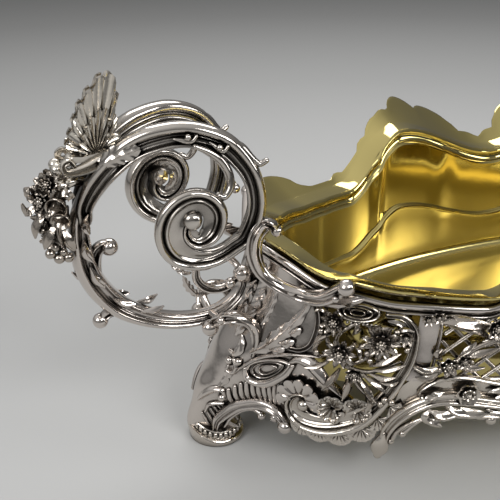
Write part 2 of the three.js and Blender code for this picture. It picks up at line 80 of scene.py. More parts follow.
def eased(t):
    t = np.clip(t, 0, 1)
    return t * t * (3 - 2 * t)


def between(knots, at):
    """A value that eases from one listed (position, value) knot to the next."""
    places, values = np.array(knots, float).T
    at = np.asarray(at, float)
    i = np.clip(np.searchsorted(places, at, "right") - 1, 0, len(places) - 2)
    return values[i] + (values[i + 1] - values[i]) * eased((at - places[i]) / (places[i + 1] - places[i]))


def flowing(places, values, at):
    """A smooth curve through the knots, without a flat spot at each."""
    places, values, at = (np.asarray(v, float) for v in (places, values, at))
    slopes = np.gradient(values, places, axis=0)
    i = np.clip(np.searchsorted(places, at, "right") - 1, 0, len(places) - 2)
    step = places[i + 1] - places[i]
    t = (at - places[i]) / step
    if values.ndim > 1:
        t, step = t[:, None], step[:, None]
    return ((1 + 2 * t) * (1 - t) ** 2 * values[i] + t * (1 - t) ** 2 * step * slopes[i]
            + t * t * (3 - 2 * t) * values[i + 1] + t * t * (t - 1) * step * slopes[i + 1])


def evenly(line, count):
    """The same line with its points at equal distances."""
    length = np.concatenate([[0], np.cumsum(np.linalg.norm(np.diff(line, axis=0), axis=1))])
    at = np.linspace(0, length[-1], count)
    return np.stack([np.interp(at, length, line[:, i]) for i in range(line.shape[1])], 1)


def curve(corners, count):
    """A smooth line of evenly spaced points through a few corners."""
    corners = np.asarray(corners, float)
    knots = np.concatenate([[0], np.cumsum(np.sqrt(np.linalg.norm(np.diff(corners, axis=0), axis=1)))])
    fine = flowing(knots, corners, np.linspace(0, knots[-1], 30 * len(corners)))
    return evenly(fine, count)


def spread(values, count):
    """Widths given at equal steps, smoothed to one for each point of a line."""
    values = np.atleast_1d(np.asarray(values, float))
    if len(values) == 1:
        return np.full(count, values[0])
    return np.maximum(flowing(np.linspace(0, 1, len(values)), values, np.linspace(0, 1, count)), 0.02)


print("a curve through 3 corners:", curve([(0, 0, 0), (1, 1, 0), (2, 0, 0)], 3).round(2).tolist())

# %% [markdown]
# The bowl is an oval that bulges below and runs straight to its edge. A place on it is given by
# the degrees round from the left end towards the front, and by its height. The edge rises to a
# crest at each quarter, so its height is listed along half the length.

# %% The bowl's wall, in millimetres
HALF_LENGTH = 218
HALF_WIDTH = 105
BULGE = 0.05
BULGE_HEIGHT = 60
BULGE_TUCK = 0.3
STRAIGHT_FROM = 115
RIM_TUBE = 3.4
MM_PER_DEGREE = 2.6  # about how far one degree goes along the wall where the ornament is
RIM_HEIGHTS = [(0, 115.5), (82, 140), (127, 105.8), (165, 107), (192, 110.6), (218, 122)]


def rim_height(degrees):
    return between(RIM_HEIGHTS, HALF_LENGTH * np.abs(np.cos(np.radians(degrees))))


def wall_normal(degrees):
    angle = np.radians(degrees)
    return unit(np.stack([-np.cos(angle) / HALF_LENGTH, -np.sin(angle) / HALF_WIDTH, angle * 0], -1))


def wall(degrees, height, out=0.0):
    degrees, height, out = np.broadcast_arrays(*(np.asarray(v, float) for v in (degrees, height, out)))
    straight = np.minimum(STRAIGHT_FROM, rim_height(degrees) - 4)
    upper = 1 - eased((height - BULGE_HEIGHT) / (straight - BULGE_HEIGHT))
    lower = 1 - BULGE_TUCK * ((BULGE_HEIGHT - height) / BULGE_HEIGHT) ** 2
    scale = 1 + BULGE * np.where(height > BULGE_HEIGHT, upper, lower)
    angle = np.radians(degrees)
    x = -HALF_LENGTH * scale * np.cos(angle)
    y = -HALF_WIDTH * scale * np.sin(angle)
    return np.stack([x, y, height], -1) + wall_normal(degrees) * out[..., None]


def outward(points):
    """The level direction away from the bowl at any point near its wall."""
    points = np.asarray(points, float)
    flat = np.stack([points[..., 0] / HALF_LENGTH ** 2, points[..., 1] / HALF_WIDTH ** 2,
                     points[..., 0] * 0], -1)
    return unit(flat)


def on_wall(corners, count, out=0.0):
    """A smooth line drawn on the wall through (degrees, height) or (degrees, height, out) corners."""
    corners = np.array([(c[0] * MM_PER_DEGREE, c[1], c[2] if len(c) > 2 else out) for c in corners], float)
    flat = curve(corners, 12 * len(corners))
    return evenly(wall(flat[:, 0] / MM_PER_DEGREE, flat[:, 1], flat[:, 2]), count)


print("rim at the end, the dip and the crest:", rim_height(0), rim_height(52.7).round(1),
      rim_height(70.7).round(1))

# %% [markdown]
# At each end the wall swells out into the leg, as one smooth skin of silver. How far it stands
# out is listed by height, and it dies away round the bowl like a bell curve. Ornament at the ends
# is placed on this skin, with the skin's own slope.

# %% The skin of the ends
LEG_REACH = [(9, 32), (12, 32), (24, 28), (35, 24.5), (46, 18.3), (59, 12), (70, 6.6), (80, 3.2),
             (90, 1.3), (100, 0.3), (112, 0), (160, 0)]
LEG_BREADTH = [(9, 5.2), (16, 5.4), (26, 6.2), (40, 9.6), (60, 12.4), (75, 13), (160, 13)]


def skin_out(degrees, height):
    height = np.clip(height, 9, 160)
    reach = np.maximum(flowing(*np.array(LEG_REACH, float).T, height), 0)
    breadth = flowing(*np.array(LEG_BREADTH, float).T, height)
    return reach * np.exp(-(np.asarray(degrees, float) / breadth) ** 2)


def skin(degrees, height, out=0.0):
    degrees, height = np.asarray(degrees, float), np.asarray(height, float)
    lift = skin_normal(degrees, height) * np.asarray(out, float)[..., None]
    return wall(degrees, height, skin_out(degrees, height)) + lift


def skin_normal(degrees, height):
    def bare(d, z):
        return wall(d, z, skin_out(d, z))

    round_it = bare(degrees + 0.4, height) - bare(degrees - 0.4, height)
    up_it = bare(degrees, height + 1.5) - bare(degrees, height - 1.5)
    return unit(np.cross(round_it, up_it))


def on_skin(corners, count, out=0.0):
    """A smooth line on the skin and the direction away from the metal at each of its points."""
    corners = np.array([(c[0] * MM_PER_DEGREE, c[1], c[2] if len(c) > 2 else out) for c in corners], float)
    flat = curve(corners, 14 * len(corners))
    degrees, height = flat[:, 0] / MM_PER_DEGREE, flat[:, 1]
    both = np.hstack([skin(degrees, height, flat[:, 2]), skin_normal(degrees, height) * 1e-4])
    line = evenly(both, count)
    return line[:, :3], unit(line[:, 3:])


print("skin stands out at the knee by", skin_out(0, 46).round(1), "mm")

# %% [markdown]
# Four ways of making a closed form cover all the ornament. A tube carries a moulding's section
# along a line. A plate thickens a grid of points into a leaf or petal. A turned form is a profile
# spun round an axis. A bead is a small sphere. Blender's own curve bevel would do for the tubes,
# but its section twists on a curved wall, so here the section is carried along by code and always
# faces away from the bowl.

# %% Closed forms


def solid(points, quads, tris=()):
    """A closed form, turned so that its faces look outwards."""
    points = np.asarray(points, float)
    quads = np.asarray(quads, int).reshape(-1, 4)
    tris = np.asarray(tris, int).reshape(-1, 3)
    thirds = np.vstack([quads[:, [0, 1, 2]], quads[:, [0, 2, 3]], tris])
    a, b, c = (points[thirds[:, i]] for i in range(3))
    if np.einsum("ij,ij->i", a, np.cross(b, c)).sum() < 0:
        quads, tris = quads[:, ::-1], tris[:, ::-1]
    return points, quads, tris


def together(shapes):
    points, quads, tris, count = [], [], [], 0
    for p, q, t in shapes:
        points.append(p)
        quads.append(q + count)
        tris.append(t + count)
        count += len(p)
    return np.vstack(points), np.vstack(quads), np.vstack(tris)


def mirrored(shape, x=1, y=1):
    points, quads, tris = shape
    if x * y < 0:
        quads, tris = quads[:, ::-1], tris[:, ::-1]
    return points * (x, y, 1), quads, tris


def both_sides(shape):
    return together([shape, mirrored(shape, y=-1)])


def grid_faces(rows, columns, wrap_rows=False, wrap_columns=False):
    r = np.arange(rows if wrap_rows else rows - 1)
    c = np.arange(columns if wrap_columns else columns - 1)
    r, c = (v.ravel() for v in np.meshgrid(r, c, indexing="ij"))
    r1, c1 = (r + 1) % rows, (c + 1) % columns
    return np.stack([r * columns + c, r * columns + c1, r1 * columns + c1, r1 * columns + c], 1)


def capped(rings, poles):
    """Rings of points joined into a form that a point closes at each end."""
    n, k = rings.shape[:2]
    j = np.arange(k)
    following = (j + 1) % k
    first = np.stack([np.full(k, n * k), following, j], 1)
    last = np.stack([np.full(k, n * k + 1), (n - 1) * k + j, (n - 1) * k + following], 1)
    points = np.vstack([rings.reshape(-1, 3), poles])
    return solid(points, grid_faces(n, k, wrap_columns=True), np.vstack([first, last]))


ROUND = np.array([(math.cos(a), math.sin(a)) for a in np.linspace(0, 2 * math.pi, 13)[:-1]])
ROUNDED_END = np.radians([78, 55, 28])


def tube(line, out, width, depth, section=ROUND, loop=False):
    """A section carried along a line: width lies across the outward direction, depth along it."""
    line = np.asarray(line, float)
    count = len(line)
    if loop:
        along = unit(np.roll(line, -1, 0) - np.roll(line, 1, 0))
    else:
        along = unit(np.gradient(line, axis=0))
    out = np.array(np.broadcast_to(out, line.shape), float)
    out = unit(out - along * (out * along).sum(1)[:, None])
    across = np.cross(out, along)
    half_width, half_depth = spread(width, count) / 2, spread(depth, count) / 2
    middle, sizes = line, np.ones(count)
    if section.ndim == 3:
        section = np.pad(section, [(3, 3), (0, 0), (0, 0)], "edge")
    if not loop:
        step = np.sin(ROUNDED_END)[:, None]
        middle = np.vstack([line[0] - along[0] * half_width[0] * step, line,
                            line[-1] + along[-1] * half_width[-1] * step[::-1]])
        sizes = np.concatenate([np.cos(ROUNDED_END), np.ones(count), np.cos(ROUNDED_END[::-1])])
        pad = [(3, 3), (0, 0)]
        out, across = np.pad(out, pad, "edge"), np.pad(across, pad, "edge")
        half_width, half_depth = np.pad(half_width, 3, "edge"), np.pad(half_depth, 3, "edge")
    wide = (half_width * sizes)[:, None] * section[..., 0]
    deep = (half_depth * sizes)[:, None] * section[..., 1]
    rings = middle[:, None] + across[:, None] * wide[..., None] + out[:, None] * deep[..., None]
    if loop:
        return solid(rings.reshape(-1, 3), grid_faces(*rings.shape[:2], wrap_rows=True, wrap_columns=True))
    return capped(rings, [line[0] - along[0] * half_width[0], line[-1] + along[-1] * half_width[-1]])


def plate(grid, thickness, facing=None):
    """A grid of points made into a closed sheet of metal."""
    grid = np.asarray(grid, float)
    rows, columns = grid.shape[:2]
    normal = unit(np.cross(np.gradient(grid, axis=0), np.gradient(grid, axis=1)))
    if facing is not None and (normal * facing).sum() < 0:
        normal = -normal
    points = np.vstack([grid.reshape(-1, 3), (grid - normal * thickness).reshape(-1, 3)])
    top = grid_faces(rows, columns)
    under = top[:, ::-1] + rows * columns
    edge = np.concatenate([np.arange(columns), np.arange(1, rows) * columns + columns - 1,
                           (rows - 1) * columns + np.arange(columns - 2, -1, -1),
                           np.arange(rows - 2, 0, -1) * columns])
    following = np.roll(edge, -1)
    sides = np.stack([edge + rows * columns, following + rows * columns, following, edge], 1)
    return solid(points, np.vstack([top, under, sides]))


def turned(profile, centre, axis=(0, 0, 1), steps=48):
    """A profile of (radius, height) spun round an axis, closed at both ends on the axis."""
    profile, centre = np.asarray(profile, float), np.asarray(centre, float)
    axis = unit(np.array(axis, float))
    side = unit(np.cross(axis, (0.3, 0.9, 0.2)))
    other = np.cross(axis, side)
    angle = np.linspace(0, 2 * math.pi, steps + 1)[:-1]
    spoke = np.cos(angle)[:, None] * side + np.sin(angle)[:, None] * other
    rings = profile[:, 0, None, None] * spoke + profile[:, 1, None, None] * axis + centre
    return capped(rings, [axis * profile[0, 1] + centre, axis * profile[-1, 1] + centre])


# %% [markdown]
# Beads are everywhere on such silver, so one sphere is made with Blender's own operator and its
# points are copied to every place. Two sizes of mesh do: a fine one for the large drops, a coarse
# one for rows of pearls.

# %% Beads


def sphere_shape(segments, rings):
    bpy.ops.object.select_all(action="DESELECT")
    bpy.ops.mesh.primitive_uv_sphere_add(segments=segments, ring_count=rings, radius=1)
    sphere = bpy.context.object
    points = np.array([v.co for v in sphere.data.vertices])
    quads = np.array([tuple(f.vertices) for f in sphere.data.polygons if len(f.vertices) == 4])
    tris = np.array([tuple(f.vertices) for f in sphere.data.polygons if len(f.vertices) == 3])
    bpy.data.meshes.remove(sphere.data)
    return solid(points, quads, tris)


DROP = sphere_shape(20, 12)
PEARL = sphere_shape(8, 6)


def bead(centre, radius, fine=True):
    points, quads, tris = DROP if fine else PEARL
    return points * radius + np.asarray(centre, float), quads, tris


print("drop", len(DROP[1]), "quads; pearl", len(PEARL[1]), "quads")

# %% [markdown]
# The mouldings. The arms have the same section on both faces: a bold round outer member, a thin
# groove, a hollow, and a slim inner member. The smaller scrolls have two ridges with a channel
# between, and a flat back where they lie on the wall.

# %% Sections of the mouldings
ARM_FACE = [(1.0, 0.0), (0.98, 0.3), (0.92, 0.56), (0.8, 0.82), (0.64, 0.97), (0.48, 1.0), (0.32, 0.92),
            (0.2, 0.74), (0.13, 0.54), (0.11, 0.4), (0.06, 0.46), (0.0, 0.5), (-0.06, 0.44), (-0.1, 0.3),
            (-0.22, 0.2), (-0.36, 0.19), (-0.5, 0.3), (-0.58, 0.48), (-0.63, 0.68), (-0.71, 0.8),
            (-0.81, 0.82), (-0.91, 0.68), (-0.98, 0.36), (-1.0, 0.0)]
ARM_SECTION = np.array(ARM_FACE + [(u, -v) for u, v in ARM_FACE[-2:0:-1]])
COIL_FACE = [(1.0, 0.0), (0.98, 0.35), (0.93, 0.65), (0.84, 0.9), (0.72, 1.0), (0.6, 0.97), (0.5, 0.84),
             (0.42, 0.62), (0.36, 0.42), (0.33, 0.3), (0.29, 0.36), (0.22, 0.56), (0.14, 0.66),
             (0.06, 0.62), (-0.01, 0.46), (-0.08, 0.3), (-0.2, 0.2), (-0.34, 0.13), (-0.48, 0.09),
             (-0.62, 0.07), (-0.76, 0.08), (-0.88, 0.12), (-0.97, 0.12), (-1.0, 0.0)]
COIL_SECTION = np.array(COIL_FACE + [(u, -v) for u, v in COIL_FACE[-2:0:-1]])
REED_FACE = [(1.0, -0.1), (0.97, 0.35), (0.85, 0.75), (0.66, 0.98), (0.45, 0.95), (0.3, 0.66),
             (0.22, 0.34), (0.0, 0.22), (-0.24, 0.3), (-0.34, 0.55), (-0.5, 0.8), (-0.7, 0.84),
             (-0.88, 0.66), (-0.98, 0.3), (-1.0, -0.1)]
REED_SECTION = np.array(REED_FACE + [(-0.9, -0.6), (0.0, -0.7), (0.9, -0.6)])
RIDGE_SECTION = np.array([(1.0, -0.2), (0.9, 0.2), (0.6, 0.62), (0.25, 0.92), (0.0, 1.0), (-0.25, 0.92),
                          (-0.6, 0.62), (-0.9, 0.2), (-1.0, -0.2), (-0.6, -0.6), (0.0, -0.7),
                          (0.6, -0.6)])
print("arm section", len(ARM_SECTION), "points, reed", len(REED_SECTION))


def wall_scroll(corners, count, width, depth, out=0.8, section=REED_SECTION, turn=1):
    line = on_wall(corners, count, out)
    return tube(line, outward(line), width, depth, section * (turn, 1))


def skin_scroll(corners, count, width, depth, out=0.8, section=REED_SECTION, loop=False):
    if loop:
        line, normal = on_skin(corners + corners[:1], count + 1, out)
        return tube(line[:-1], normal[:-1], width, depth, section, loop=True)
    line, normal = on_skin(corners, count, out)
    return tube(line, normal, width, depth, section)


# %% [markdown]
# Leaves and petals are grids. An acanthus leaf follows a spine, and its edge is cut into lobes
# that sweep forwards. Each lobe has a vein, and the tip curls away from the wall.

# %% Leaves
LEAF_METAL = 0.9
LEAF_STEPS = 9


def leaf(line, out, width, lobes=3, crown=0.32, curl=0.0, deep=0.34):
    """An acanthus leaf along a spine; the lobes sweep towards its tip."""
    line = np.asarray(line, float)
    count = len(line)
    along = unit(np.gradient(line, axis=0))
    out = np.array(np.broadcast_to(out, line.shape), float)
    out = unit(out - along * (out * along).sum(1)[:, None])
    across = np.cross(out, along)
    half = spread(width, count) / 2
    t = np.linspace(0, 1, count)
    phase = (t * lobes) % 1.0
    notch = 1 - deep * (1 - np.sin(np.pi * np.clip(phase, 0, 1)) ** 0.6)
    edge = half * notch
    s = np.linspace(-1, 1, LEAF_STEPS)
    size = half[:, None]
    height = crown * size * (1 - s ** 2) + 0.2 * size * np.exp(-(s / 0.16) ** 2)
    height -= 0.12 * size * np.cos(2 * np.pi * (t[:, None] * lobes - 0.35 * np.abs(s))) * np.abs(s)
    height += curl * t[:, None] ** 3
    sweep = 0.45 * size * s ** 2
    grid = (line[:, None] + across[:, None] * (edge[:, None] * s)[..., None]
            + out[:, None] * height[..., None] + along[:, None] * sweep[..., None])
    return plate(grid, LEAF_METAL, out.mean(0))


def wall_leaf(corners, width, lobes=3, out=1.2, count=None, **more):
    line = on_wall(corners, count or 6 * lobes + 3, out)
    return leaf(line, outward(line), width, lobes, **more)


def skin_leaf(corners, width, lobes=3, out=1.2, count=None, **more):
    line, normal = on_skin(corners, count or 6 * lobes + 3, out)
    return leaf(line, normal, width, lobes, **more)


# %% [markdown]
# A daisy is one petal, modelled once and turned round its centre, in two rows, with a cluster of
# tiny beads in the middle. The petal is cupped and pointed, with a crease down its length.

# %% Flowers
PETAL_START = 0.12  # share of the radius that the heart covers


def frame_for(normal, spin=0.0):
    """Two directions across a flower's face, turned by spin, and the way it looks."""
    normal = unit(np.array(normal, float))
    side = unit(np.cross((0.02, 0.05, 1.0), normal))
    up = np.cross(normal, side)
    c, s = math.cos(spin), math.sin(spin)
    return side * c + up * s, up * c - side * s, normal


def petal_grid(radius, width, cup, point):
    """One petal: how far its points reach out, how far to the side, and how high they rise."""
    t = np.linspace(0, 1, 7)[:, None]
    s = np.linspace(-1, 1, 5)[None]
    fullness = 0.75 if point < 1 else 1.0
    half = radius * width * np.sin(np.pi * (0.14 + (0.86 - 0.13 * (1 - point)) * t)) ** fullness
    reach = radius * (PETAL_START + (1 - PETAL_START) * t) * np.ones_like(s)
    reach = reach - 0.06 * radius * s ** 2 * (t > 0.8)
    rise = cup * radius * t ** 1.6 + 0.07 * radius * (s ** 2) * np.sin(np.pi * t)
    rise = rise - 0.22 * radius * np.maximum(t - 0.8, 0)
    return reach, half * s, rise


def flower(centre, normal, radius, petals=10, rows=2, cup=0.3, width=0.24, point=1.0, heart=0.24):
    shapes = []
    for row in range(rows):
        size = radius * (1 - 0.5 * row)
        reach, wide, rise = petal_grid(size, width, cup + 0.28 * row, point)
        for i in range(petals):
            side, up, face = frame_for(normal, 2 * math.pi * (i + 0.5 * row) / petals)
            lift = (0.1 * row + 0.03 * (i % 2)) * radius
            grid = (np.asarray(centre, float) + side * reach[..., None] + up * wide[..., None]
                    + face * (rise + lift)[..., None])
            shapes.append(plate(grid, 0.07 * radius, face))
    side, up, face = frame_for(normal)
    top = np.asarray(centre, float) + face * radius * (0.14 + 0.1 * rows)
    shapes.append(bead(top, radius * heart * 0.8, fine=False))
    for i in range(7):
        a = 2 * math.pi * i / 7
        spot = top + (side * math.cos(a) + up * math.sin(a)) * radius * heart + face * radius * 0.02
        shapes.append(bead(spot, radius * heart * 0.4, fine=False))
    return together(shapes)


def wall_flower(degrees, height, radius, out=3.0, tilt=0.0, **more):
    centre = wall(degrees, height, out)
    normal = wall_normal(degrees) + np.array([0, 0, tilt])
    return flower(centre, normal, radius, **more)


# %% [markdown]
# A shell is a fan of flutes with a scalloped edge. The flutes are hollows between raised ribs,
# and the edge turns up a little, as it does where a chaser has worked it from behind.

# %% Shells
STEPS_PER_RIB = 8
FAN_METAL = 1.1


def fan(centre, side, up, inner, outer, first, last, ribs, depth=1.2, dish=0.0, rim=0.12, lift=0.0,
        plump=False):
    """A fluted fan in the plane of side and up; angles run from side towards up, in degrees."""
    face = np.cross(side, up)
    a = np.linspace(0, 1, ribs * STEPS_PER_RIB + 1)[:, None]
    r = np.linspace(0, 1, 11)[None]
    angle = np.radians(first + (last - first) * a)
    wave = np.abs(np.sin(np.pi * ribs * a))
    edge = outer * (1 - rim * (1 - wave ** 0.5))
    reach = inner + (edge - inner) * r
    along = np.sin(np.pi * np.clip(0.18 + 0.8 * r, 0, 1))
    if plump:
        height = depth * wave ** 0.6 * along + dish * r ** 2
    else:
        lip = depth * 0.9 * np.maximum(r - 0.88, 0) / 0.12
        height = depth * (1 - wave ** 0.7) * along + dish * r ** 2 + lip
    place = side * (reach * np.cos(angle))[..., None] + up * (reach * np.sin(angle))[..., None]
    grid = np.asarray(centre, float) + place + face * (height + lift)[..., None]
    return plate(grid, FAN_METAL, face)


def wall_fan(degrees, height, out, inner, outer, first, last, ribs, **more):
    """A fan laid on the wall; 0 degrees points to the right as seen from outside, 90 up."""
    normal = wall_normal(degrees)
    right = np.cross((0, 0, 1.0), normal)
    return fan(wall(degrees, height, out), right, np.array([0, 0, 1.0]), inner, outer, first, last, ribs,
               **more)


# %% [markdown]
# Finishes. The silver is cast, chased and then polished, so it is bright on its ridges, and a
# darker tarnish is left in the hollows, where no cloth reaches. Ambient occlusion finds these
# hollows and darkens the colour there, so their dark is partly that tarnish and partly painted
# shade. The gilt is a thin layer of gold over polished silver, and the dark in its hollows is
# painted shade.

# %% Small helpers for finishes
CLOUD_SIZE = 22  # millimetres between cloudier and clearer patches of tarnish
CLOUDING = 0.24
SMEAR_SIZE = 7  # millimetres between the faint smears that a cloth leaves
SATIN = 0.28
SATIN_FADE = 5


def linear(hex_colour):
    """An sRGB colour such as #A0B0C0 as linear values."""
    parts = [int(hex_colour[i:i + 2], 16) / 255 for i in (1, 3, 5)]
    return tuple(v / 12.92 if v <= 0.04045 else ((v + 0.055) / 1.055) ** 2.4 for v in parts) + (1.0,)


def add(tree, kind, links=None, **settings):
    """Adds a node, sets its properties or unlinked inputs, and links the inputs named in links."""
    node = tree.nodes.new(kind)
    for name, value in settings.items():
        if hasattr(node, name):
            setattr(node, name, value)
        else:
            node.inputs[name.replace("_", " ")].default_value = value
    for socket, source in (links or {}).items():
        tree.links.new(source, node.inputs[socket])
    return node


def ramp(tree, factor, stops):
    node = add(tree, "ShaderNodeValToRGB", {"Fac": factor})
    elements = node.color_ramp.elements
    while len(elements) < len(stops):
        elements.new(0.5)
    for element, (place, colour) in zip(elements, stops):
        element.position = place
        element.color = colour
    return node


def grey(value):
    return (value, value, value, 1.0)


def metal(name, bright, tarnish_and_shade, reach, roughness, texture, grain, hollow=(0.25, 0.85), satin_below=None):
    """Polished metal whose hollows are painted dark, partly tarnish and partly painted shade found by
    ambient occlusion; below one height it is satin. Lengths are in millimetres.
    """
    material = bpy.data.materials.new(name)
    material.use_nodes = True
    tree = material.node_tree
    tree.nodes.clear()
    output = add(tree, "ShaderNodeOutputMaterial")
    place = add(tree, "ShaderNodeTexCoord").outputs["Object"]
    hollows = add(tree, "ShaderNodeAmbientOcclusion", samples=6, Distance=reach / 1000)
    cloud = add(tree, "ShaderNodeTexNoise", {"Vector": place}, Scale=1000 / CLOUD_SIZE, Detail=4.0,
                Roughness=0.6)
    shift = add(tree, "ShaderNodeMath", {0: cloud.outputs["Fac"]}, operation="MULTIPLY_ADD")
    shift.inputs[1].default_value = CLOUDING
    shift.inputs[2].default_value = -CLOUDING / 2
    # Ambient occlusion darkens the colour in hollows: this dark is partly tarnish and partly painted shade.
    depth = add(tree, "ShaderNodeMath", {0: hollows.outputs["AO"], 1: shift.outputs[0]}, operation="ADD")
    clean_and_lit = ramp(tree, depth.outputs[0], [(hollow[0], grey(0.0)), (hollow[1], grey(1.0))])
    colour = add(tree, "ShaderNodeMix", {"Factor": clean_and_lit.outputs["Color"]}, data_type="RGBA")
    colour.inputs["A"].default_value = linear(tarnish_and_shade)
    colour.inputs["B"].default_value = linear(bright)
    fine = add(tree, "ShaderNodeTexNoise", {"Vector": place}, Scale=1000 / SMEAR_SIZE, Detail=3.0,
               Roughness=0.55)
    gloss = add(tree, "ShaderNodeMapRange", {"Value": fine.outputs["Fac"]}, To_Min=roughness * 0.7,
                To_Max=roughness * 1.35)
    worn = add(tree, "ShaderNodeMix", {"Factor": clean_and_lit.outputs["Color"], "B": gloss.outputs["Result"]},
               data_type="FLOAT")
    worn.inputs["A"].default_value = min(0.5, roughness + 0.22)
    finish = worn.outputs["Result"]
    if satin_below:
        level = add(tree, "ShaderNodeSeparateXYZ", {0: place}).outputs["Z"]
        worn_floor = add(tree, "ShaderNodeMapRange", {"Value": level}, From_Min=satin_below / 1000,
                         From_Max=(satin_below + SATIN_FADE) / 1000, To_Min=SATIN, To_Max=0.0)
        finish = add(tree, "ShaderNodeMath", {0: worn_floor.outputs["Result"], 1: finish},
                     operation="MAXIMUM").outputs[0]
    pits = add(tree, "ShaderNodeTexNoise", {"Vector": place}, Scale=1000 / grain, Detail=2.0, Roughness=0.5)
    bump = add(tree, "ShaderNodeBump", {"Height": pits.outputs["Fac"]}, Strength=texture, Distance=0.0006)
    shader = add(tree, "ShaderNodeBsdfPrincipled", {"Base Color": colour.outputs["Result"],
                                                    "Roughness": finish,
                                                    "Normal": bump.outputs["Normal"]}, Metallic=1.0)
    tree.links.new(shader.outputs["BSDF"], output.inputs["Surface"])
    return material


# %% [markdown]
# Five silvers and a gilt. All the silver is one metal that differs only in how it was finished
# and in how much tarnish and painted shade its hollows get, so the bright colours stay close and
# the dark ones change.

# %% The finishes
# Cast and buffed to a mirror: smooth legs, plates and rims with crisp reflections.
POLISHED = metal("polished_silver", "#D2CAC3", "#332D29", 8.0, 0.11, 0.10, 5.0, (0.3, 0.84))
# Chased by hand with small punches: the ridges glint and the grooves are painted dark brown, partly tarnish
# and partly painted shade.
CHASED = metal("chased_silver", "#CFC7BD", "#332C27", 5.5, 0.14, 0.22, 2.6, (0.22, 0.8))
# Dipped until it darkened, then wiped: flowers with near-black depths, partly oxide and partly painted
# shade, and bright petal tips.
OXIDISED = metal("oxidised_silver", "#B9B0A6", "#1F1B18", 4.5, 0.16, 0.26, 1.8, (0.24, 0.82))
# Scratch-brushed: the shell on the handle is paler and a little duller.
FROSTED = metal("frosted_silver", "#DDD6CB", "#3F3931", 3.5, 0.19, 0.16, 3.0, (0.15, 0.72))
# Polished, with its deep mouldings painted dark over a wide reach, partly tarnish and partly painted shade:
# the handle arms get strong black lines.
DEEP_TARNISH_AND_SHADE = metal("polished_silver_with_deep_tarnish_and_shade", "#CFC8C0", "#211E1B", 24.0, 0.10, 0.10, 5.0, (0.42, 0.97))
# Fire-gilt sheet: a warm mirror on the wall and a softer, worn floor; its corners and hollows are painted
# darker olive as shade.
GILT = metal("fire_gilt_silver", "#CDBD7C", "#5E5026", 13.0, 0.07, 0.05, 14.0, (0.1, 0.8), satin_below=46)
print("finishes:", [m.name for m in (POLISHED, DEEP_TARNISH_AND_SHADE, CHASED, OXIDISED, FROSTED, GILT)])

# %% [markdown]
# Each finished form becomes one object in metres, at the origin, and stands for its CAD node. The
# jardiniere has mirror symmetry both ways, so a quarter is modelled once, and each copy gets its
# own mesh.

# %% From a form to a piece
SIDES = {"left": 1, "right": -1, "front": 1, "back": -1}
made = {}


def piece(name, shape, material, body="jardiniere", slot="silver", angle=50):
    """One visible piece in place of the CAD node of the same name."""
    points, quads, tris = shape
    mesh = bpy.data.meshes.new(name + "_form")
    mesh.from_pydata((points / 1000).tolist(), [], quads.tolist() + tris.tolist())
    mesh.update()
    thing = bpy.data.objects.new(name + "_form", mesh)
    bpy.context.scene.collection.objects.link(thing)
    mesh.materials.append(material)
    bpy.ops.object.select_all(action="DESELECT")
    thing.select_set(True)
    bpy.context.view_layer.objects.active = thing
    bpy.ops.object.shade_smooth_by_angle(angle=math.radians(angle))
    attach(thing, body)
    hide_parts(name)
    made[name] = len(quads) * 2 + len(tris)
    return thing


def at_four_quarters(name, shape, material, **more):
    for y_side in ("front", "back"):
        for x_side in ("left", "right"):
            turned_over = mirrored(shape, SIDES[x_side], SIDES[y_side])
            piece(f"{name}_{y_side}_{x_side}", turned_over, material, **more)
    print(name, "x 4:", made[f"{name}_front_left"], "triangles each")


def at_both(name, sides, shape, material, **more):
    for side in sides:
        flip = {"x": SIDES[side]} if side in ("left", "right") else {"y": SIDES[side]}
        piece(f"{name}_{side}", mirrored(shape, **flip), material, **more)
    print(name, "x 2:", made[f"{name}_{sides[0]}"], "triangles each")


# %% [markdown]
# The rim tube is a plain half-round wire that a silversmith solders round the pierced wall. It
# rises and falls with the edge, and a thinner reed runs under it.

# %% Rim moulding
ROUND_THE_BOWL = np.arange(0, 360, 0.75)


def rim_moulding():
    height = rim_height(ROUND_THE_BOWL)
    line = wall(ROUND_THE_BOWL, height)
    out = wall_normal(ROUND_THE_BOWL)
    tube_line = tube(line - np.array([0, 0, 1.0]), out, 4.8, 4.8, loop=True)
    under = tube(line + out * 0.6 - np.array([0, 0, 4.8]), out, 1.6, 2.6, loop=True)
    return together([tube_line, under])


piece("rim_moulding", rim_moulding(), POLISHED)
print("rim moulding", made["rim_moulding"], "triangles")

# %% [markdown]
# The liner is raised from sheet and gilded. Its floor is flat, its wall stands nearly upright and
# is folded gently at the crests, and a small moulding runs under the lip. The lip leans out at
# about 30 degrees over the rim tube, and its edge is cut into round lobes of different sizes.

# %% Gilt liner
FLOOR = 45
SHEET = 1.7
CORNER_RISE = 7
LIP_SLOPE = math.tan(math.radians(30))
LIP_BASE = [(0, 6), (12, 8), (22, 16), (40, 17), (60, 14), (80, 8), (100, 5), (125, 4.5), (145, 4),
            (156, 8), (170, 10), (190, 8), (199, 4), (207, 1), (218, 0)]
LIP_LOBES = [(8, 6, 3), (18, 3.5, 4), (33, 14, 9), (61, 13, 12), (82, 7, 5), (92, 6, 5), (102.5, 3, 3),
             (123, 3, 3), (169, 15, 10)]
FOLDS = [(102, 3.5, 2.6), (44, 8, 1.2), (151, 6, 1.0)]
LIP_UNDER = 3.75
LIP_METAL = 1.6
LIP_DIP = 1.3


def lip_width(degrees):
    x = HALF_LENGTH * np.abs(np.cos(np.radians(degrees)))
    extra = []
    for place, half, height in LIP_LOBES:
        away = np.abs(x - place) / np.where(x > place, 1.25 * half, half)
        extra.append(height * np.clip(1 - away ** 2.2, 0, 1) ** 0.62)
    return between(LIP_BASE, x) + np.max(extra, axis=0)


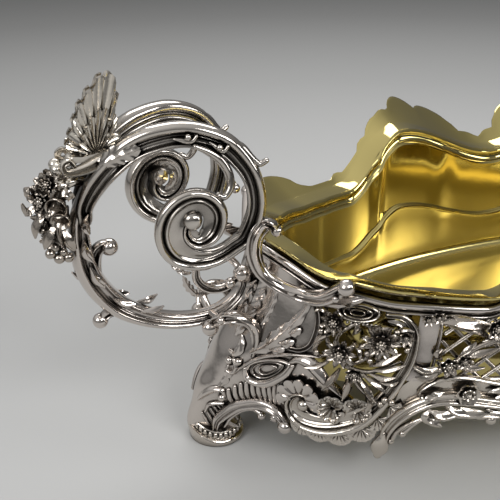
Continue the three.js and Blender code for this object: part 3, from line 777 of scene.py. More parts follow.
def folds(degrees):
    x = HALF_LENGTH * np.abs(np.cos(np.radians(degrees)))
    return sum(height * np.exp(-((x - place) / half) ** 2) for place, half, height in FOLDS)


def liner_ring(inset, height):
    place = wall(ROUND_THE_BOWL, STRAIGHT_FROM)
    place[:, 2] = height
    return place - wall_normal(ROUND_THE_BOWL) * np.asarray(inset, float)[..., None]


def liner_pan():
    rim = rim_height(ROUND_THE_BOWL)
    top = rim + LIP_UNDER + LIP_METAL - LIP_DIP
    ledge = 65 + 0.76 * (rim - 107)
    fold = folds(ROUND_THE_BOWL)
    flat = np.zeros_like(rim)
    corner = [(46, 0), (31, 0), (26.4, 0.3), (23.0, 1.1), (20.9, 2.4), (19.6, 4.2), (18.9, 6.4)]
    rings = [liner_ring(inset + flat, FLOOR + rise + flat) for inset, rise in corner]
    for t in np.linspace(0.2, 1, 5):
        rings.append(liner_ring(18.7 - 2.4 * t + 0.3 * fold * t,
                                FLOOR + CORNER_RISE + (ledge - 3 - FLOOR - CORNER_RISE) * t))
    for inset, rise in ((16.3, -2.3), (17.2, -1.7), (17.6, -0.8), (17.4, 0.2), (16.6, 0.8), (15.2, 1.0),
                        (14.7, 1.4)):
        rings.append(liner_ring(inset + 0.5 * fold, ledge + rise))
    for t in np.linspace(0.12, 1, 7):
        rings.append(liner_ring(14.6 - 0.7 * t + fold * (0.5 + 0.3 * t),
                                ledge + 1.4 + (top - 12.4 - ledge - 1.4) * t))
    moulding = [(13.9, -11.2), (13.9, -10.2), (13.0, -9.6), (12.4, -8.8), (12.9, -7.9), (13.4, -7.4),
                (12.6, -6.6), (12.0, -5.4), (11.8, -3.6), (12.4, -2.6), (12.5, -1.6), (11.9, -0.7),
                (11.2, -0.05), (9.6, -0.05), (9.8, -3.0)]
    rings += [liner_ring(inset + fold * 0.8, top + drop) for inset, drop in moulding]
    outer = [(10.2, top - 14), (11.4, FLOOR + 20 + flat), (16, FLOOR + 4 + flat),
             (17.4, FLOOR - 0.6 + flat), (19, FLOOR - SHEET + flat)]
    rings += [liner_ring(inset + flat, height) for inset, height in outer]
    return capped(np.array(rings), [(0, 0, FLOOR), (0, 0, FLOOR - SHEET)])


def liner_lip():
    rim = rim_height(ROUND_THE_BOWL)
    width = lip_width(ROUND_THE_BOWL)
    outer = np.minimum(0, width - 1)
    rings = []
    for share, up in [(None, 0.0), (0, 0), (0.35, 0), (0.7, 0), (0.94, 0.0), (1.0, 0.35), (1.0, 1.15),
                      (0.97, 1.6), (0.9, 1.75), (0.7, 1.6), (0.35, 1.6), (0.08, 1.6), (0, 1.6),
                      (None, 1.6)]:
        if share is None:
            across = np.full_like(rim, -11.0)
            rise = np.full_like(rim, -LIP_DIP)
        else:
            across = outer + (width - outer) * share
            past = np.maximum(across, 0)
            rise = past * LIP_SLOPE * (0.82 + 0.18 * past / np.maximum(width, 1))
        rings.append(liner_ring(-across, rim + LIP_UNDER + rise + up))
    rings = np.array(rings)
    return solid(rings.reshape(-1, 3), grid_faces(*rings.shape[:2], wrap_rows=True, wrap_columns=True))


piece("liner_pan", liner_pan(), GILT, body="liner", slot="gilt", angle=35)
piece("liner_lip", liner_lip(), GILT, body="liner", slot="gilt", angle=35)
print("liner", made["liner_pan"], "and", made["liner_lip"], "triangles")

# %% [markdown]
# Handle arms. Each grows out of the lower arm behind the flowers, runs over the top of the handle,
# down beside the bowl and round into a volute. The coil's outer edge is listed by angle with the
# width of the band at that place. Each band reaches in to the next turn: first a bold outer ridge,
# then a slim one, then a broad hollow. It ends in a domed button.

# %% Handle arms
ARM_START = [(-307, -3.0, 147), (-307, -4.0, 152.5), (-304.6, -5.5, 159), (-301.2, -7.5, 165.2)]
ARM_TOP = [(-296.6, 171.6), (-291.0, 177.4), (-284.5, 182.8), (-275.5, 187), (-261.5, 189.6),
           (-250.5, 188), (-241, 183.5), (-234.5, 176.5), (-229.5, 168), (-227.2, 158), (-227.6, 149)]
VOLUTE = np.array([-258.3, -33.0, 147.0])
COIL = [(-8, 37.5, 9.5), (-32, 30.2, 9.2), (-60, 26.0, 9.5), (-90, 23.6, 11.2), (-135, 22.3, 13.2),
        (-180, 21.3, 13.6), (-225, 20.6, 13.4), (-270, 20.0, 12.8), (-315, 17.4, 12.4),
        (-360, 13.6, 11.2), (-405, 11.8, 10.2), (-450, 10.6, 8.6), (-495, 8.9, 7.8), (-540, 7.6, 6.8),
        (-575, 7.0, 6.0), (-600, 6.6, 4.6)]
ARM_FACES = unit(np.array([-0.277, -1.0, 0.0]))


def arm_y(x):
    return -5.6 - 0.277 * (np.asarray(x, float) + 311.5)


def coil_at(degrees):
    places, edge, width = np.array(COIL[::-1], float).T
    return flowing(places, edge, degrees), flowing(places, width, degrees)


def arm_line():
    """The middle of the arm's moulding, with its width and its share of the coil's section."""
    top = ARM_START + [(x, float(arm_y(x)), z) for x, z in ARM_TOP]
    turns = np.arange(-24, -601, -12.0)
    edge, width = coil_at(turns)
    radius = edge - width / 2
    inward = eased((-24 - turns) / 150)
    y = float(arm_y(-232)) + (VOLUTE[1] - float(arm_y(-232))) * inward
    coil = np.stack([VOLUTE[0] + radius * np.cos(np.radians(turns)), y,
                     VOLUTE[2] + radius * np.sin(np.radians(turns))], 1)
    line = curve(np.vstack([top, coil]), 520)
    angle = np.degrees(np.unwrap(np.arctan2(line[:, 2] - VOLUTE[2], line[:, 0] - VOLUTE[0])))
    angle -= 360 * round((angle[-1] + 600) / 360)
    wide = coil_at(np.clip(angle, -600, -8))[1]
    over = np.interp(np.arange(len(line)), [0, 40, 110, 170, 230], [8.0, 11.0, 13.5, 12.0, 9.5])
    return line, np.where(angle > -20, over, wide), eased((-50 - angle) / 90)


def handle_arm():
    line, width, share = arm_line()
    depth = np.interp(np.arange(len(line)), [0, 60, 130, 520], [8.0, 9.0, 9.6, 6.6])
    section = ARM_SECTION + (COIL_SECTION - ARM_SECTION) * share[:, None, None]
    arm = tube(line, ARM_FACES, width, depth, section)
    dome = [(1.5, -3.4), (4.2, -3.0), (4.9, -1.5), (5.0, 0.6), (4.8, 2.4), (4.0, 3.9), (2.6, 4.9),
            (1.2, 5.2)]
    button = turned(dome, VOLUTE + (-2.6, 0.6, 4.4), ARM_FACES, 36)
    peel = curve([(-256.5, -25.5, 185.1), (-250.3, -26.5, 182.0), (-244.5, -28, 177.1),
                  (-240.9, -29.5, 169.5), (-241.4, -31, 163.9), (-244.8, -32, 160.4),
                  (-247.8, -32.5, 161.8)], 40)
    strand = tube(peel, ARM_FACES, [2.5, 4.4, 4.4, 3.8, 3.2], [4, 5.5, 5.0, 4.0, 3.5])
    spur_places = ((-242, 186), (-234.3, 182.0), (-229.6, 177.0), (-225.6, 174.0), (-222.6, 175.6))
    spur_line = curve([(x, float(arm_y(x)), z) for x, z in spur_places], 24)
    spur = tube(spur_line, ARM_FACES, [3, 5.4, 4.6, 3.4, 2.6], [4, 6, 5.4, 4.4, 3.4])
    husk_line = curve([(-299, -12.5, 176), (-294, -14.5, 179.5), (-288, -16.0, 182.0),
                       (-281, -18.0, 184.0)], 24)
    husk = leaf(husk_line, ARM_FACES, [6, 10, 10, 8, 2], lobes=4, crown=0.14, curl=0.6)
    notches = []
    for x, z, dx, dz in ((-257.5, 187.5, 8, -1.0), (-243.5, 182.2, 6, -4.2)):
        start = np.array([x - dx, float(arm_y(x - dx)) - 4.0, z - dz])
        end = np.array([x, float(arm_y(x)) - 4.8, z])
        turn_up = end + np.array([1.8, -0.4, 2.2])
        notches.append(tube(curve([start, end, turn_up], 12), ARM_FACES, [1.2, 2.6, 1.8], [2.0, 3.0, 2.4]))
        notches.append(bead(end + np.array([-2.2, -0.4, 2.0]), 1.7, fine=False))
    print("arm widths from", width.max().round(1), "to", width.min().round(1), "over", len(line), "rings")
    return together([arm, button, strand, spur, husk] + notches)


at_four_quarters("handle_arm", handle_arm(), DEEP_TARNISH_AND_SHADE)

# %% [markdown]
# The lower arm is one broad C below the flowers. It has a deep channel on each face with small
# curling leaves in it, three buds that branch off, and it dives under the bowl's edge.

# %% Lower arm of the handle
LOWER_ARM = [(-304.5, 160), (-307.4, 153), (-309.8, 144), (-310.2, 134), (-308.6, 120), (-303, 106.5),
             (-293.5, 94.5), (-281, 86), (-266, 80.5), (-250, 78.8), (-238, 81), (-229, 87), (-224.6, 94),
             (-223.6, 101)]
TO_FRONT = np.array([0.0, -1.0, 0.0])


def flat_line(corners, count, y=0.0):
    return curve([(x, y, z) for x, z in corners], count)


def handle_lower():
    widths = [7.0, 9.5, 11.5, 12.5, 12.0, 10.5, 9.0, 8.0, 7.5, 7.0]
    swell = np.sqrt(np.maximum(1 - ARM_SECTION[:, 0] ** 2, 0)) * np.sign(ARM_SECTION[:, 1])
    shallow = np.stack([-ARM_SECTION[:, 0], 0.62 * ARM_SECTION[:, 1] + 0.38 * swell], 1)
    arm = tube(flat_line(LOWER_ARM, 150), TO_FRONT, widths, [11, 13, 14.5, 14.5, 13, 12, 11, 10, 9.5, 9],
               shallow)
    shapes = [arm]
    buds = [([(-302.0, 106), (-304.0, 114), (-304.0, 122), (-302.0, 127.6), (-298.4, 130.0),
              (-295.8, 129.0)], [5.5, 7.0, 7.5, 6.5, 5.0], 4.6),
            ([(-284, 89.5), (-292, 92), (-299, 91.0), (-303.5, 87.6)], [3.0, 4.6, 5.0, 4.2], 4.2)]
    for corners, widths, size in buds:
        shapes.append(tube(flat_line(corners, 30), TO_FRONT, widths, [6.0, 7.0, 7.0, 6.0],
                           REED_SECTION * (-1, 1)))
        shapes.append(bead((corners[-1][0], 0, corners[-1][1] - 0.4), size))
    for corners, width in (([(-305.5, 150), (-307.5, 144), (-306.0, 140)], 5),
                           ([(-309, 137), (-308.5, 130), (-305.5, 125)], 5),
                           ([(-307, 122), (-304.5, 115), (-300.5, 110)], 5.5),
                           ([(-297, 102), (-291, 98.0), (-286, 97)], 4.5),
                           ([(-283, 91.5), (-276, 91.2), (-271, 93.4)], 4.5)):
        line = flat_line(corners, 12, y=-6.0)
        shapes.append(both_sides(leaf(line, TO_FRONT, [1.5, width, 1.5], lobes=1, crown=0.5, curl=1.0)))
    shapes.append(tube(flat_line([(-307, 113), (-311.6, 113.6), (-315.4, 117.4)], 8), TO_FRONT,
                       [4.4, 3.0, 1.0], [6, 4, 1.5]))
    half = []
    beaded = [(-231.0, -14, 107.6), (-237.6, -14, 103.4), (-241.5, -14, 102.4), (-246.9, -14.4, 103.2),
              (-252.1, -15.5, 106.6), (-255.4, -17, 112.0), (-256, -18.5, 117.7)]
    line = curve(beaded, 50)
    half.append(tube(line, TO_FRONT, [3.2, 4.4, 5.0, 4.8, 4.0], [4.0, 5.0, 5.4, 5.0, 4.0], REED_SECTION))
    half += [bead((-229.7, -14, 108.8), 4.8), bead((-236.4, -14.6, 104.6), 3.0)]
    fringe = curve([(-249.3, -13, 99.8), (-253.8, -13.5, 100.4), (-259, -14.5, 106.2),
                    (-262.0, -16, 113.4)], 30)
    half.append(leaf(fringe, TO_FRONT, [2.0, 4.4, 4.6, 1.2], lobes=5, crown=0.3, deep=0.5))
    half.append(tube(curve([(-229, -13, 107), (-225, -9, 103), (-223.6, -3, 99)], 12), TO_FRONT, 4.0, 4.6))
    knee = curve([(-246.0, -11.0, 79.0), (-243.6, -15.5, 84.0), (-235.6, -19.5, 86.4),
                  (-228.8, -21.5, 83.6), (-224.8, -22.5, 77.7), (-224.6, -23.5, 70.7),
                  (-227.0, -24.5, 64.0)], 60)
    half.append(tube(knee, outward(knee), [4.4, 6.2, 7.0, 6.8, 6.4, 5.6, 3.6],
                     [4.4, 6, 6.4, 6.4, 6, 5, 3.4], REED_SECTION))
    half.append(bead((-246.6, -10.4, 77.2), 4.7))
    half.append(tube(curve([(-243, -18.5, 85.5), (-243.5, -10, 83), (-243.5, -2, 81)], 12), (0, 0, 1),
                     4.6, 4.6))
    return together(shapes + [both_sides(together(half))])


at_both("handle_lower", ("left", "right"), handle_lower(), POLISHED)

# %% [markdown]
# The crest of the handle is a winged shell. Its shallow ribs spread from the fork of the arms, the
# edge steps from tip to tip like feathers, and its foot rolls forward into a small volute.

# %% Shell on the handle
SHELL_TIPS = [(-288.9, 190.5), (-287.6, 196.4), (-288.2, 203.2), (-286.6, 213.0), (-290.5, 217.6),
              (-294.5, 215.5), (-298.9, 211.2), (-302.5, 206.8), (-305.3, 202.6), (-307.6, 197.6),
              (-309.1, 192.9), (-311.2, 188.6), (-312.4, 185.3), (-313.0, 181.7)]
SHELL_ROOT = np.array([-299.0, 178.5])
SHELL_RIBS = 9


def feathered(reach, y):
    """One tier of the shell: ribs that end in stepped tips, cupped towards its middle."""
    tips = np.array(SHELL_TIPS)
    a = np.linspace(0, 1, SHELL_RIBS * STEPS_PER_RIB + 1)
    tip = flowing(np.linspace(0, 1, len(tips)), tips, a)
    phase = (SHELL_RIBS * a) % 1.0
    wave = np.sin(np.pi * phase)
    r = np.linspace(0.03, 1, 14)[None]
    length = (1.02 - 0.12 * (1 - wave[:, None] ** 0.5) - 0.05 * phase[:, None]) * reach
    place = SHELL_ROOT + (tip[:, None] - SHELL_ROOT) * (r * length)[..., None]
    ribs = 1.4 * (wave[:, None] ** 0.6) * np.sin(np.pi * np.clip(0.12 + 0.8 * r, 0, 1))
    barbs = 0.35 * np.sin(2 * np.pi * SHELL_RIBS * 2 * a)[:, None] * r
    cupped = y - (ribs + barbs) - 1.4 * r ** 2
    return plate(np.stack([place[..., 0], cupped, place[..., 1]], -1), 2.2, TO_FRONT)


def handle_shell():
    shapes = [feathered(1.0, -2.6), feathered(0.6, -3.9)]
    roll = curve([(-289, -8.0, 181), (-294, -9.0, 179.2), (-300, -9.5, 176.6), (-306, -9.5, 174.4),
                  (-311, -9.5, 173.6), (-314.6, -9.5, 174.0), (-315.4, -9.5, 177.4),
                  (-312.6, -9.5, 179.0), (-310.8, -9.5, 176.8)], 60)
    shapes.append(tube(roll, TO_FRONT, [4.4, 6.0, 6.2, 5.4, 4.4, 3.2, 2.4], [6, 7, 7, 6, 5, 4, 4],
                       REED_SECTION))
    web = np.array([[(x, y, z) for x, z in ((-289, 181), (-294, 179.6), (-300, 178), (-306, 177),
                                            (-311, 177.6))] for y in (-1.0, -9.0)])
    shapes.append(plate(web, 3.0))
    half = together(shapes)
    core = tube(curve([(-289, 0, 184), (-296, 0, 181), (-305, 0, 178), (-311, 0, 177.4)], 16), TO_FRONT,
                [7, 8, 7, 5], [7, 9, 9, 8])
    drop = tube(curve([(-316.8, -4, 165.2), (-311.4, -4.6, 167.0), (-306, -1.4, 165.0), (-301, -2, 161)],
                      18), TO_FRONT, [5.0, 4.6, 3.8, 2.4], [5, 4.6, 4, 3])
    link = tube(curve([(-317.9, -4, 173.6), (-314.4, -0.6, 174.0), (-309, -1, 175.4)], 8), TO_FRONT, 2.6,
                2.8)
    drops = together([drop, link, bead((-316.8, -4, 165.2), 4.2), bead((-317.9, -4, 173.6), 3.1)])
    return together([both_sides(half), core, both_sides(drops)])


at_both("handle_shell", ("left", "right"), handle_shell(), FROSTED)

# %% [markdown]
# A cluster of flowers hangs outside the handle. Seen close there are two trumpet flowers with
# rolled lips, frilled heads, long petals that hang down, and small buds at the foot.

# %% Flowers on the handle


def trumpet(mouth, back, radius):
    """A small open bell whose lip rolls outwards, from its mouth back to its stem."""
    mouth, back = np.asarray(mouth, float), np.asarray(back, float)
    length = np.linalg.norm(mouth - back)
    profile = [(0.5, 0.0), (1.2, 0.5), (radius * 0.45, length * 0.4), (radius * 0.8, length * 0.8),
               (radius, length), (radius * 0.96, length + 0.5), (radius * 0.84, length + 0.1),
               (radius * 0.62, length * 0.76), (radius * 0.3, length * 0.5), (0.4, length * 0.44)]
    return turned(profile, back, mouth - back, 18)


def handle_flowers():
    stem = curve([(-313, 0, 168), (-319, -2, 160), (-321, -2, 150), (-321, -2, 140), (-318.5, -3, 131)], 30)
    shapes = [tube(stem, TO_FRONT, [5, 8, 8, 6, 3], [9, 13, 13, 10, 5])]
    shapes += [trumpet((-321.3, -14.5, 158.4), (-316, -4, 161), 5.5),
               trumpet((-319.7, -14.0, 151.4), (-315, -4, 155), 5.0)]
    heads = [((-326.0, -7, 160), (-1, -0.8, 0.2), 8.6, 8, 2, 0.3, 0.25, 0.9),
             ((-323.4, -6, 166.6), (-0.6, -0.9, 0.9), 6.2, 9, 2, 0.6, 0.3, 0.6),
             ((-326.0, -6, 149.6), (-1, -0.9, -0.3), 6.6, 7, 2, 0.45, 0.3, 0.7),
             ((-323.6, -7, 140.6), (-0.8, -1.0, -0.5), 5.4, 6, 1, 0.7, 0.36, 0.6),
             ((-324.0, 7, 158), (-1, 0.8, 0.2), 8.0, 8, 2, 0.35, 0.25, 0.9),
             ((-322.0, 7, 146), (-0.8, 0.9, -0.2), 7.0, 7, 2, 0.45, 0.3, 0.7),
             ((-320.0, 5, 167), (-0.5, 0.9, 0.8), 6.0, 8, 2, 0.5, 0.3, 0.6)]
    for centre, facing, radius, petals, rows, cup, width, point in heads:
        shapes.append(flower(centre, facing, radius, petals=petals, rows=rows, cup=cup, width=width,
                             point=point))
    hanging = [((-326, -8, 154), (-331, -9, 149), (-332, -9, 142.5)),
               ((-322, -10, 150), (-326, -12, 144), (-328.4, -12, 137.5)),
               ((-319, -11, 147), (-317.5, -13, 141.5), (-314.4, -13, 135.2)),
               ((-329, -6, 158), (-334, -7, 156), (-336, -7, 160)),
               ((-329, -5, 161), (-333, -7, 165), (-332, -8, 168)),
               ((-320, -9, 161), (-316, -12, 163.5), (-312, -12, 162)),
               ((-325, 6, 150), (-329, 8, 144), (-328, 9, 137)),
               ((-317, 9, 148), (-315, 12, 142), (-313, 12.5, 136))]
    for line in hanging:
        middle = np.mean(line, axis=0)
        shapes.append(leaf(curve(line, 13), (middle[0] + 306, 1.6 * middle[1], 0), [2.0, 5.4, 5.0, 0.8],
                           lobes=1, crown=0.4, deep=0.1))
    buds = [(-325.6, 133.0, 2.6), (-321.6, 130.0, 2.8), (-317.2, 129.8, 2.6), (-323.0, 136, 2.2),
            (-319.4, 133, 2.2), (-328, 145.5, 1.8)]
    for x, z, size in buds:
        twig = curve([(x, -8, z), (x * 0.5 - 160.5, -6, z + 3.5), (-321, -4, 139)], 8)
        shapes += [bead((x, -8, z), size), tube(twig, TO_FRONT, 1.6, 1.6)]
    shapes.append(leaf(curve([(-317.5, -9, 142.9), (-316.6, -10.5, 139), (-314.1, -11, 135.1)], 11),
                       TO_FRONT, [3, 5, 3], lobes=1, crown=0.7))
    return together(shapes)


at_both("handle_flowers", ("left", "right"), handle_flowers(), OXIDISED, slot="oxidised_silver")

# %% [markdown]
# Where the arm meets the bowl, a bracket scroll springs from the arm, curls over and runs down
# along the rim to end in a drop. It ties the handle to the edge.

# %% Bracket beside the rim
BRACKET = [(-217.8, -32, 139.6), (-219.8, -32, 142.6), (-224.4, -32.5, 143.6), (-228.9, -33, 138.8),
           (-230.3, -33, 133), (-229.8, -33, 126.7), (-226.5, -33.5, 118.4), (-220.5, -35, 112.4),
           (-213.5, -38.5, 108.2), (-207, -43.5, 106.5), (-202, -53, 108.8), (-199, -61, 114.5),
           (-196.6, -67.5, 121)]


def handle_bracket():
    line = curve(BRACKET, 110)
    bar = tube(line, outward(line), [4.2, 6.0, 6.4, 6.0, 6.0, 6.6, 7.6, 8.2, 8.0, 6.6],
               [4.6, 5.6, 6, 6, 6, 6.4, 7, 7, 6.4, 5.6], REED_SECTION)
    drops = [bead((-217.4, -32, 138.8), 3.0), bead((-196.4, -68.8, 121.2), 4.4),
             bead((-199.4, -64.4, 113.6), 2.0)]
    inner = curve([(-222.5, -33, 140.1), (-226.4, -33.4, 136), (-227.4, -33.6, 129.7),
                   (-225.6, -34, 121.8), (-222.6, -36, 117.1), (-217, -40, 113.6)], 40)
    twig = tube(inner, outward(inner), [1.4, 2.4, 2.4, 2.0, 1.2], [3, 4, 4, 3, 2])
    tail = skin_leaf([(24.5, 103.5, 6.0), (28.0, 105.5, 6.4), (31.5, 108.5, 7.4), (34.5, 112.0, 8.6)],
                     [3, 6.5, 6, 1.5], lobes=2, count=18, crown=0.35)
    strap = tube(curve([(-212, -40, 107.5), (-209, -39.5, 107), (-205, -38.5, 108)], 8), TO_FRONT, 5, 5)
    return together([bar, twig, tail, strap] + drops)


at_four_quarters("handle_bracket", handle_bracket(), POLISHED)

# %% [markdown]
# The feet. Each is a cabriole leg with a smooth, swelling face that grows out of the wall and
# stands on a round pad. The leg is lofted from rings, and any point that would run through the
# wall is laid on the wall instead.

# %% Legs
END_FOOT = [(9.35, 243, 15, 13), (16, 245, 12.5, 10), (26, 243, 13, 11), (40, 236, 15.5, 14),
            (54, 227, 16, 19), (66, 219, 14, 22), (78, 212, 12, 20)]
SIDE_FOOT = [(9.35, 119, 13, 13), (16, 118, 14, 15), (26, 115.5, 14, 17), (40, 110, 13, 20),
             (52, 105, 11, 22)]


def leg(rows, end):
    rows = np.array(rows, float)
    heights = np.linspace(rows[0, 0], rows[-1, 0], 34)
    sizes = flowing(rows[:, 0], rows[:, 1:], heights)
    angle = np.linspace(0, 2 * math.pi, 49)[:-1]
    c, s = np.cos(angle), np.sin(angle)
    reach = sizes[:, :1] + sizes[:, 1:2] * np.sign(c) * np.abs(c) ** 0.86
    wide = sizes[:, 2:3] * np.sign(s) * np.abs(s) ** 0.92
    tall = np.broadcast_to(heights[:, None], reach.shape)
    rings = np.stack([-reach, wide, tall], -1) if end else np.stack([wide, -reach, tall], -1)
    degrees = np.degrees(np.arctan2(-rings[..., 1] / HALF_WIDTH, -rings[..., 0] / HALF_LENGTH))
    face = wall(degrees, tall, -0.6)
    away = np.hypot(rings[..., 0], rings[..., 1])
    rings = np.where((away < np.hypot(face[..., 0], face[..., 1]))[..., None], face, rings)
    if end:
        cover = wall(degrees, tall, skin_out(degrees, tall) - 1.0)
        rings = np.where((away > np.hypot(cover[..., 0], cover[..., 1]))[..., None], cover, rings)
    return capped(rings, [rings[0].mean(0), rings[-1].mean(0)])


def end_foot():
    """The leg behind the skin, with the curl, the under-curl and the ribs at its side."""
    half = [skin_scroll([(1.8, 29), (3.0, 34), (4.5, 38), (6.0, 38.6), (6.4, 35.6)], 30,
                        [2.0, 3.6, 4.2, 3.6, 2.6], [2.4, 3.6, 4, 3.6, 2.8], 0.8, RIDGE_SECTION)]
    half.append(bead(skin(5.8, 34.2, 1.4), 2.3))
    half.append(skin_scroll([(2.8, 21.5), (3.5, 27), (5.4, 29.2)], 20, [1.6, 2.8, 1.8], 3.0, 0.6,
                            RIDGE_SECTION))
    for i in range(6):
        half.append(skin_scroll([(2.5 + 0.5 * i, 20.6 + 1.5 * i), (2.9 + 0.45 * i, 16.6 + 1.9 * i),
                                 (3.3 + 0.38 * i, 13.0 + 2.2 * i)], 9, [1.4, 2.2, 1.4], 2.4, 0.4,
                                RIDGE_SECTION))
    half.append(skin_scroll([(7.6, 58.5), (8.6, 54.5), (7.8, 51.0), (6.4, 51.6), (6.6, 54.0)], 24,
                            [2.6, 3.4, 3.2, 2.4], [3, 3.8, 3.6, 3], 0.8, RIDGE_SECTION))
    half += [bead(skin(6.4, 57.0, 0.4), 2.5), bead(skin(8.8, 58.0, 0.4), 2.5)]
    half.append(skin_leaf([(8.4, 56.5), (7.0, 51.0), (6.4, 45.0), (5.2, 39.6)], [2, 5.0, 4.0, 1.2],
                          lobes=4, out=0.6, crown=0.3, deep=0.5))
    half.append(skin_leaf([(7.4, 72), (8.4, 67), (7.6, 62), (5.8, 62.4)], [2, 5.4, 4.6, 1.4], lobes=3,
                          out=0.8, crown=0.3, curl=1.0))
    return together([leg(END_FOOT, True), both_sides(together(half))])


at_both("foot", ("left", "right"), end_foot(), POLISHED)


def side_foot():
    half = []
    over = curve([(-1.0, -133, 32), (-6, -131.5, 37), (-12, -127.5, 39), (-16, -123, 36),
                  (-15.5, -122, 32.5)], 30)
    half.append(tube(over, outward(over), [2.5, 5, 5.2, 3.6, 2.2], [2.5, 4, 4.4, 3.6, 2.4]))
    half.append(bead((-15.2, -122.6, 34.2), 2.3))
    knee = curve([(-3, -121, 55), (-10, -119, 57), (-17, -116.5, 54), (-20, -114.5, 47),
                  (-17, -117, 42.5)], 36)
    half.append(tube(knee, outward(knee), [3, 4, 4, 3.4, 2.2], [3, 4.4, 4.4, 3.6, 2.4], REED_SECTION))
    other = together([mirrored(shape, x=-1) for shape in half])
    crown = curve([(0, -122, 44), (0, -122.5, 52), (0, -117.5, 62)], 21)
    return together([leg(SIDE_FOOT, False), leaf(crown, outward(crown), [12, 16, 4], lobes=3, crown=0.3)]
                    + half + [other])


at_both("foot", ("front", "back"), side_foot(), POLISHED)

# %% [markdown]
# The pads are turned: a thick round edge that meets the table, a hollow, and a shoulder with a
# row of upright gadroons, which are modelled as one flattened bead copied round.

# %% Foot pads


def foot_pad(x, y):
    profile = [(1, 0.0), (15.6, 0.0), (16.7, 0.7), (17.0, 2.0), (16.7, 3.3), (15.7, 4.2), (14.7, 4.4),
               (14.2, 4.9), (13.7, 6.4), (13.7, 7.6), (14.3, 8.0), (14.6, 8.6), (14.2, 9.2), (12.0, 9.4),
               (1, 9.4)]
    shapes = [turned(profile, (x, y, 0), steps=64)]
    points, quads, tris = PEARL
    for i in range(30):
        a = 2 * math.pi * i / 30
        spot = np.array([x + 14.2 * math.cos(a), y + 14.2 * math.sin(a), 6.2])
        shapes.append((points * (1.4, 1.4, 2.3) + spot, quads, tris))
    points, quads, tris = together(shapes)
    away = np.clip(((points[:, 0] - x) * x + (points[:, 1] - y) * y) / math.hypot(x, y) / 17, 0, 1)
    points[:, 2] += 7.0 * away ** 2 * (points[:, 2] > 0.4)
    return points, quads, tris


at_both("foot_pad", ("left", "right"), foot_pad(-241.5, 0), CHASED)
at_both("foot_pad", ("front", "back"), foot_pad(0, -119), CHASED)

# %% [markdown]
# The end of the bowl is a smooth, polished plate that flows into the leg. Around it lie an
# acanthus spray, a looped band, a border scroll, a mussel-shaped cartouche and a fluted skirt.

# %% End plates and skirts


def panel_top(degrees):
    return rim_height(degrees) - RIM_TUBE - 1.6


def wall_plate(first, last, low, high, columns, rows, relief=None, thickness=2.4):
    degrees = np.linspace(first, last, columns)[:, None]
    share = np.linspace(0, 1, rows)[None]
    height = low(degrees) + (high(degrees) - low(degrees)) * share
    out = relief(degrees, height) if relief else 0.0
    return plate(wall(degrees + 0 * height, height, out), thickness,
                 outward(wall(degrees + 0 * height, height)))


def skirt_edge(degrees):
    """How low the skin reaches: down the leg in the middle, then over the arch beside it."""
    away = [0, 3.7, 4.2, 5.8, 7.8, 10.2, 13.2, 16.5, 19, 20.8, 23, 27]
    height = [10, 10, 16, 24.5, 29.5, 31.8, 33.8, 34, 32, 30, 35, 42]
    return np.interp(np.abs(degrees), away, height)


MUSSEL = [(11.0, 54.5), (11.5, 51.2), (13.5, 49.8), (16.2, 51.6), (19.2, 56.5), (21.2, 61.5),
          (22.0, 65.5), (20.2, 66.4), (17.2, 65.2), (14.0, 62.3), (11.8, 58.5)]
FLUTE_TOPS = [(7.2, 39.5), (9, 43.5), (10.8, 46.4), (12.8, 47.2), (14.8, 48.2), (17, 50.0), (19.2, 53.0),
              (20.4, 56.5)]
FLUTE_FEET = [(7, 29.0), (9, 32.0), (10.8, 34.4), (13, 36.4), (15.2, 37.5), (17.2, 37.6), (18.8, 37.6),
              (20.4, 39.5)]


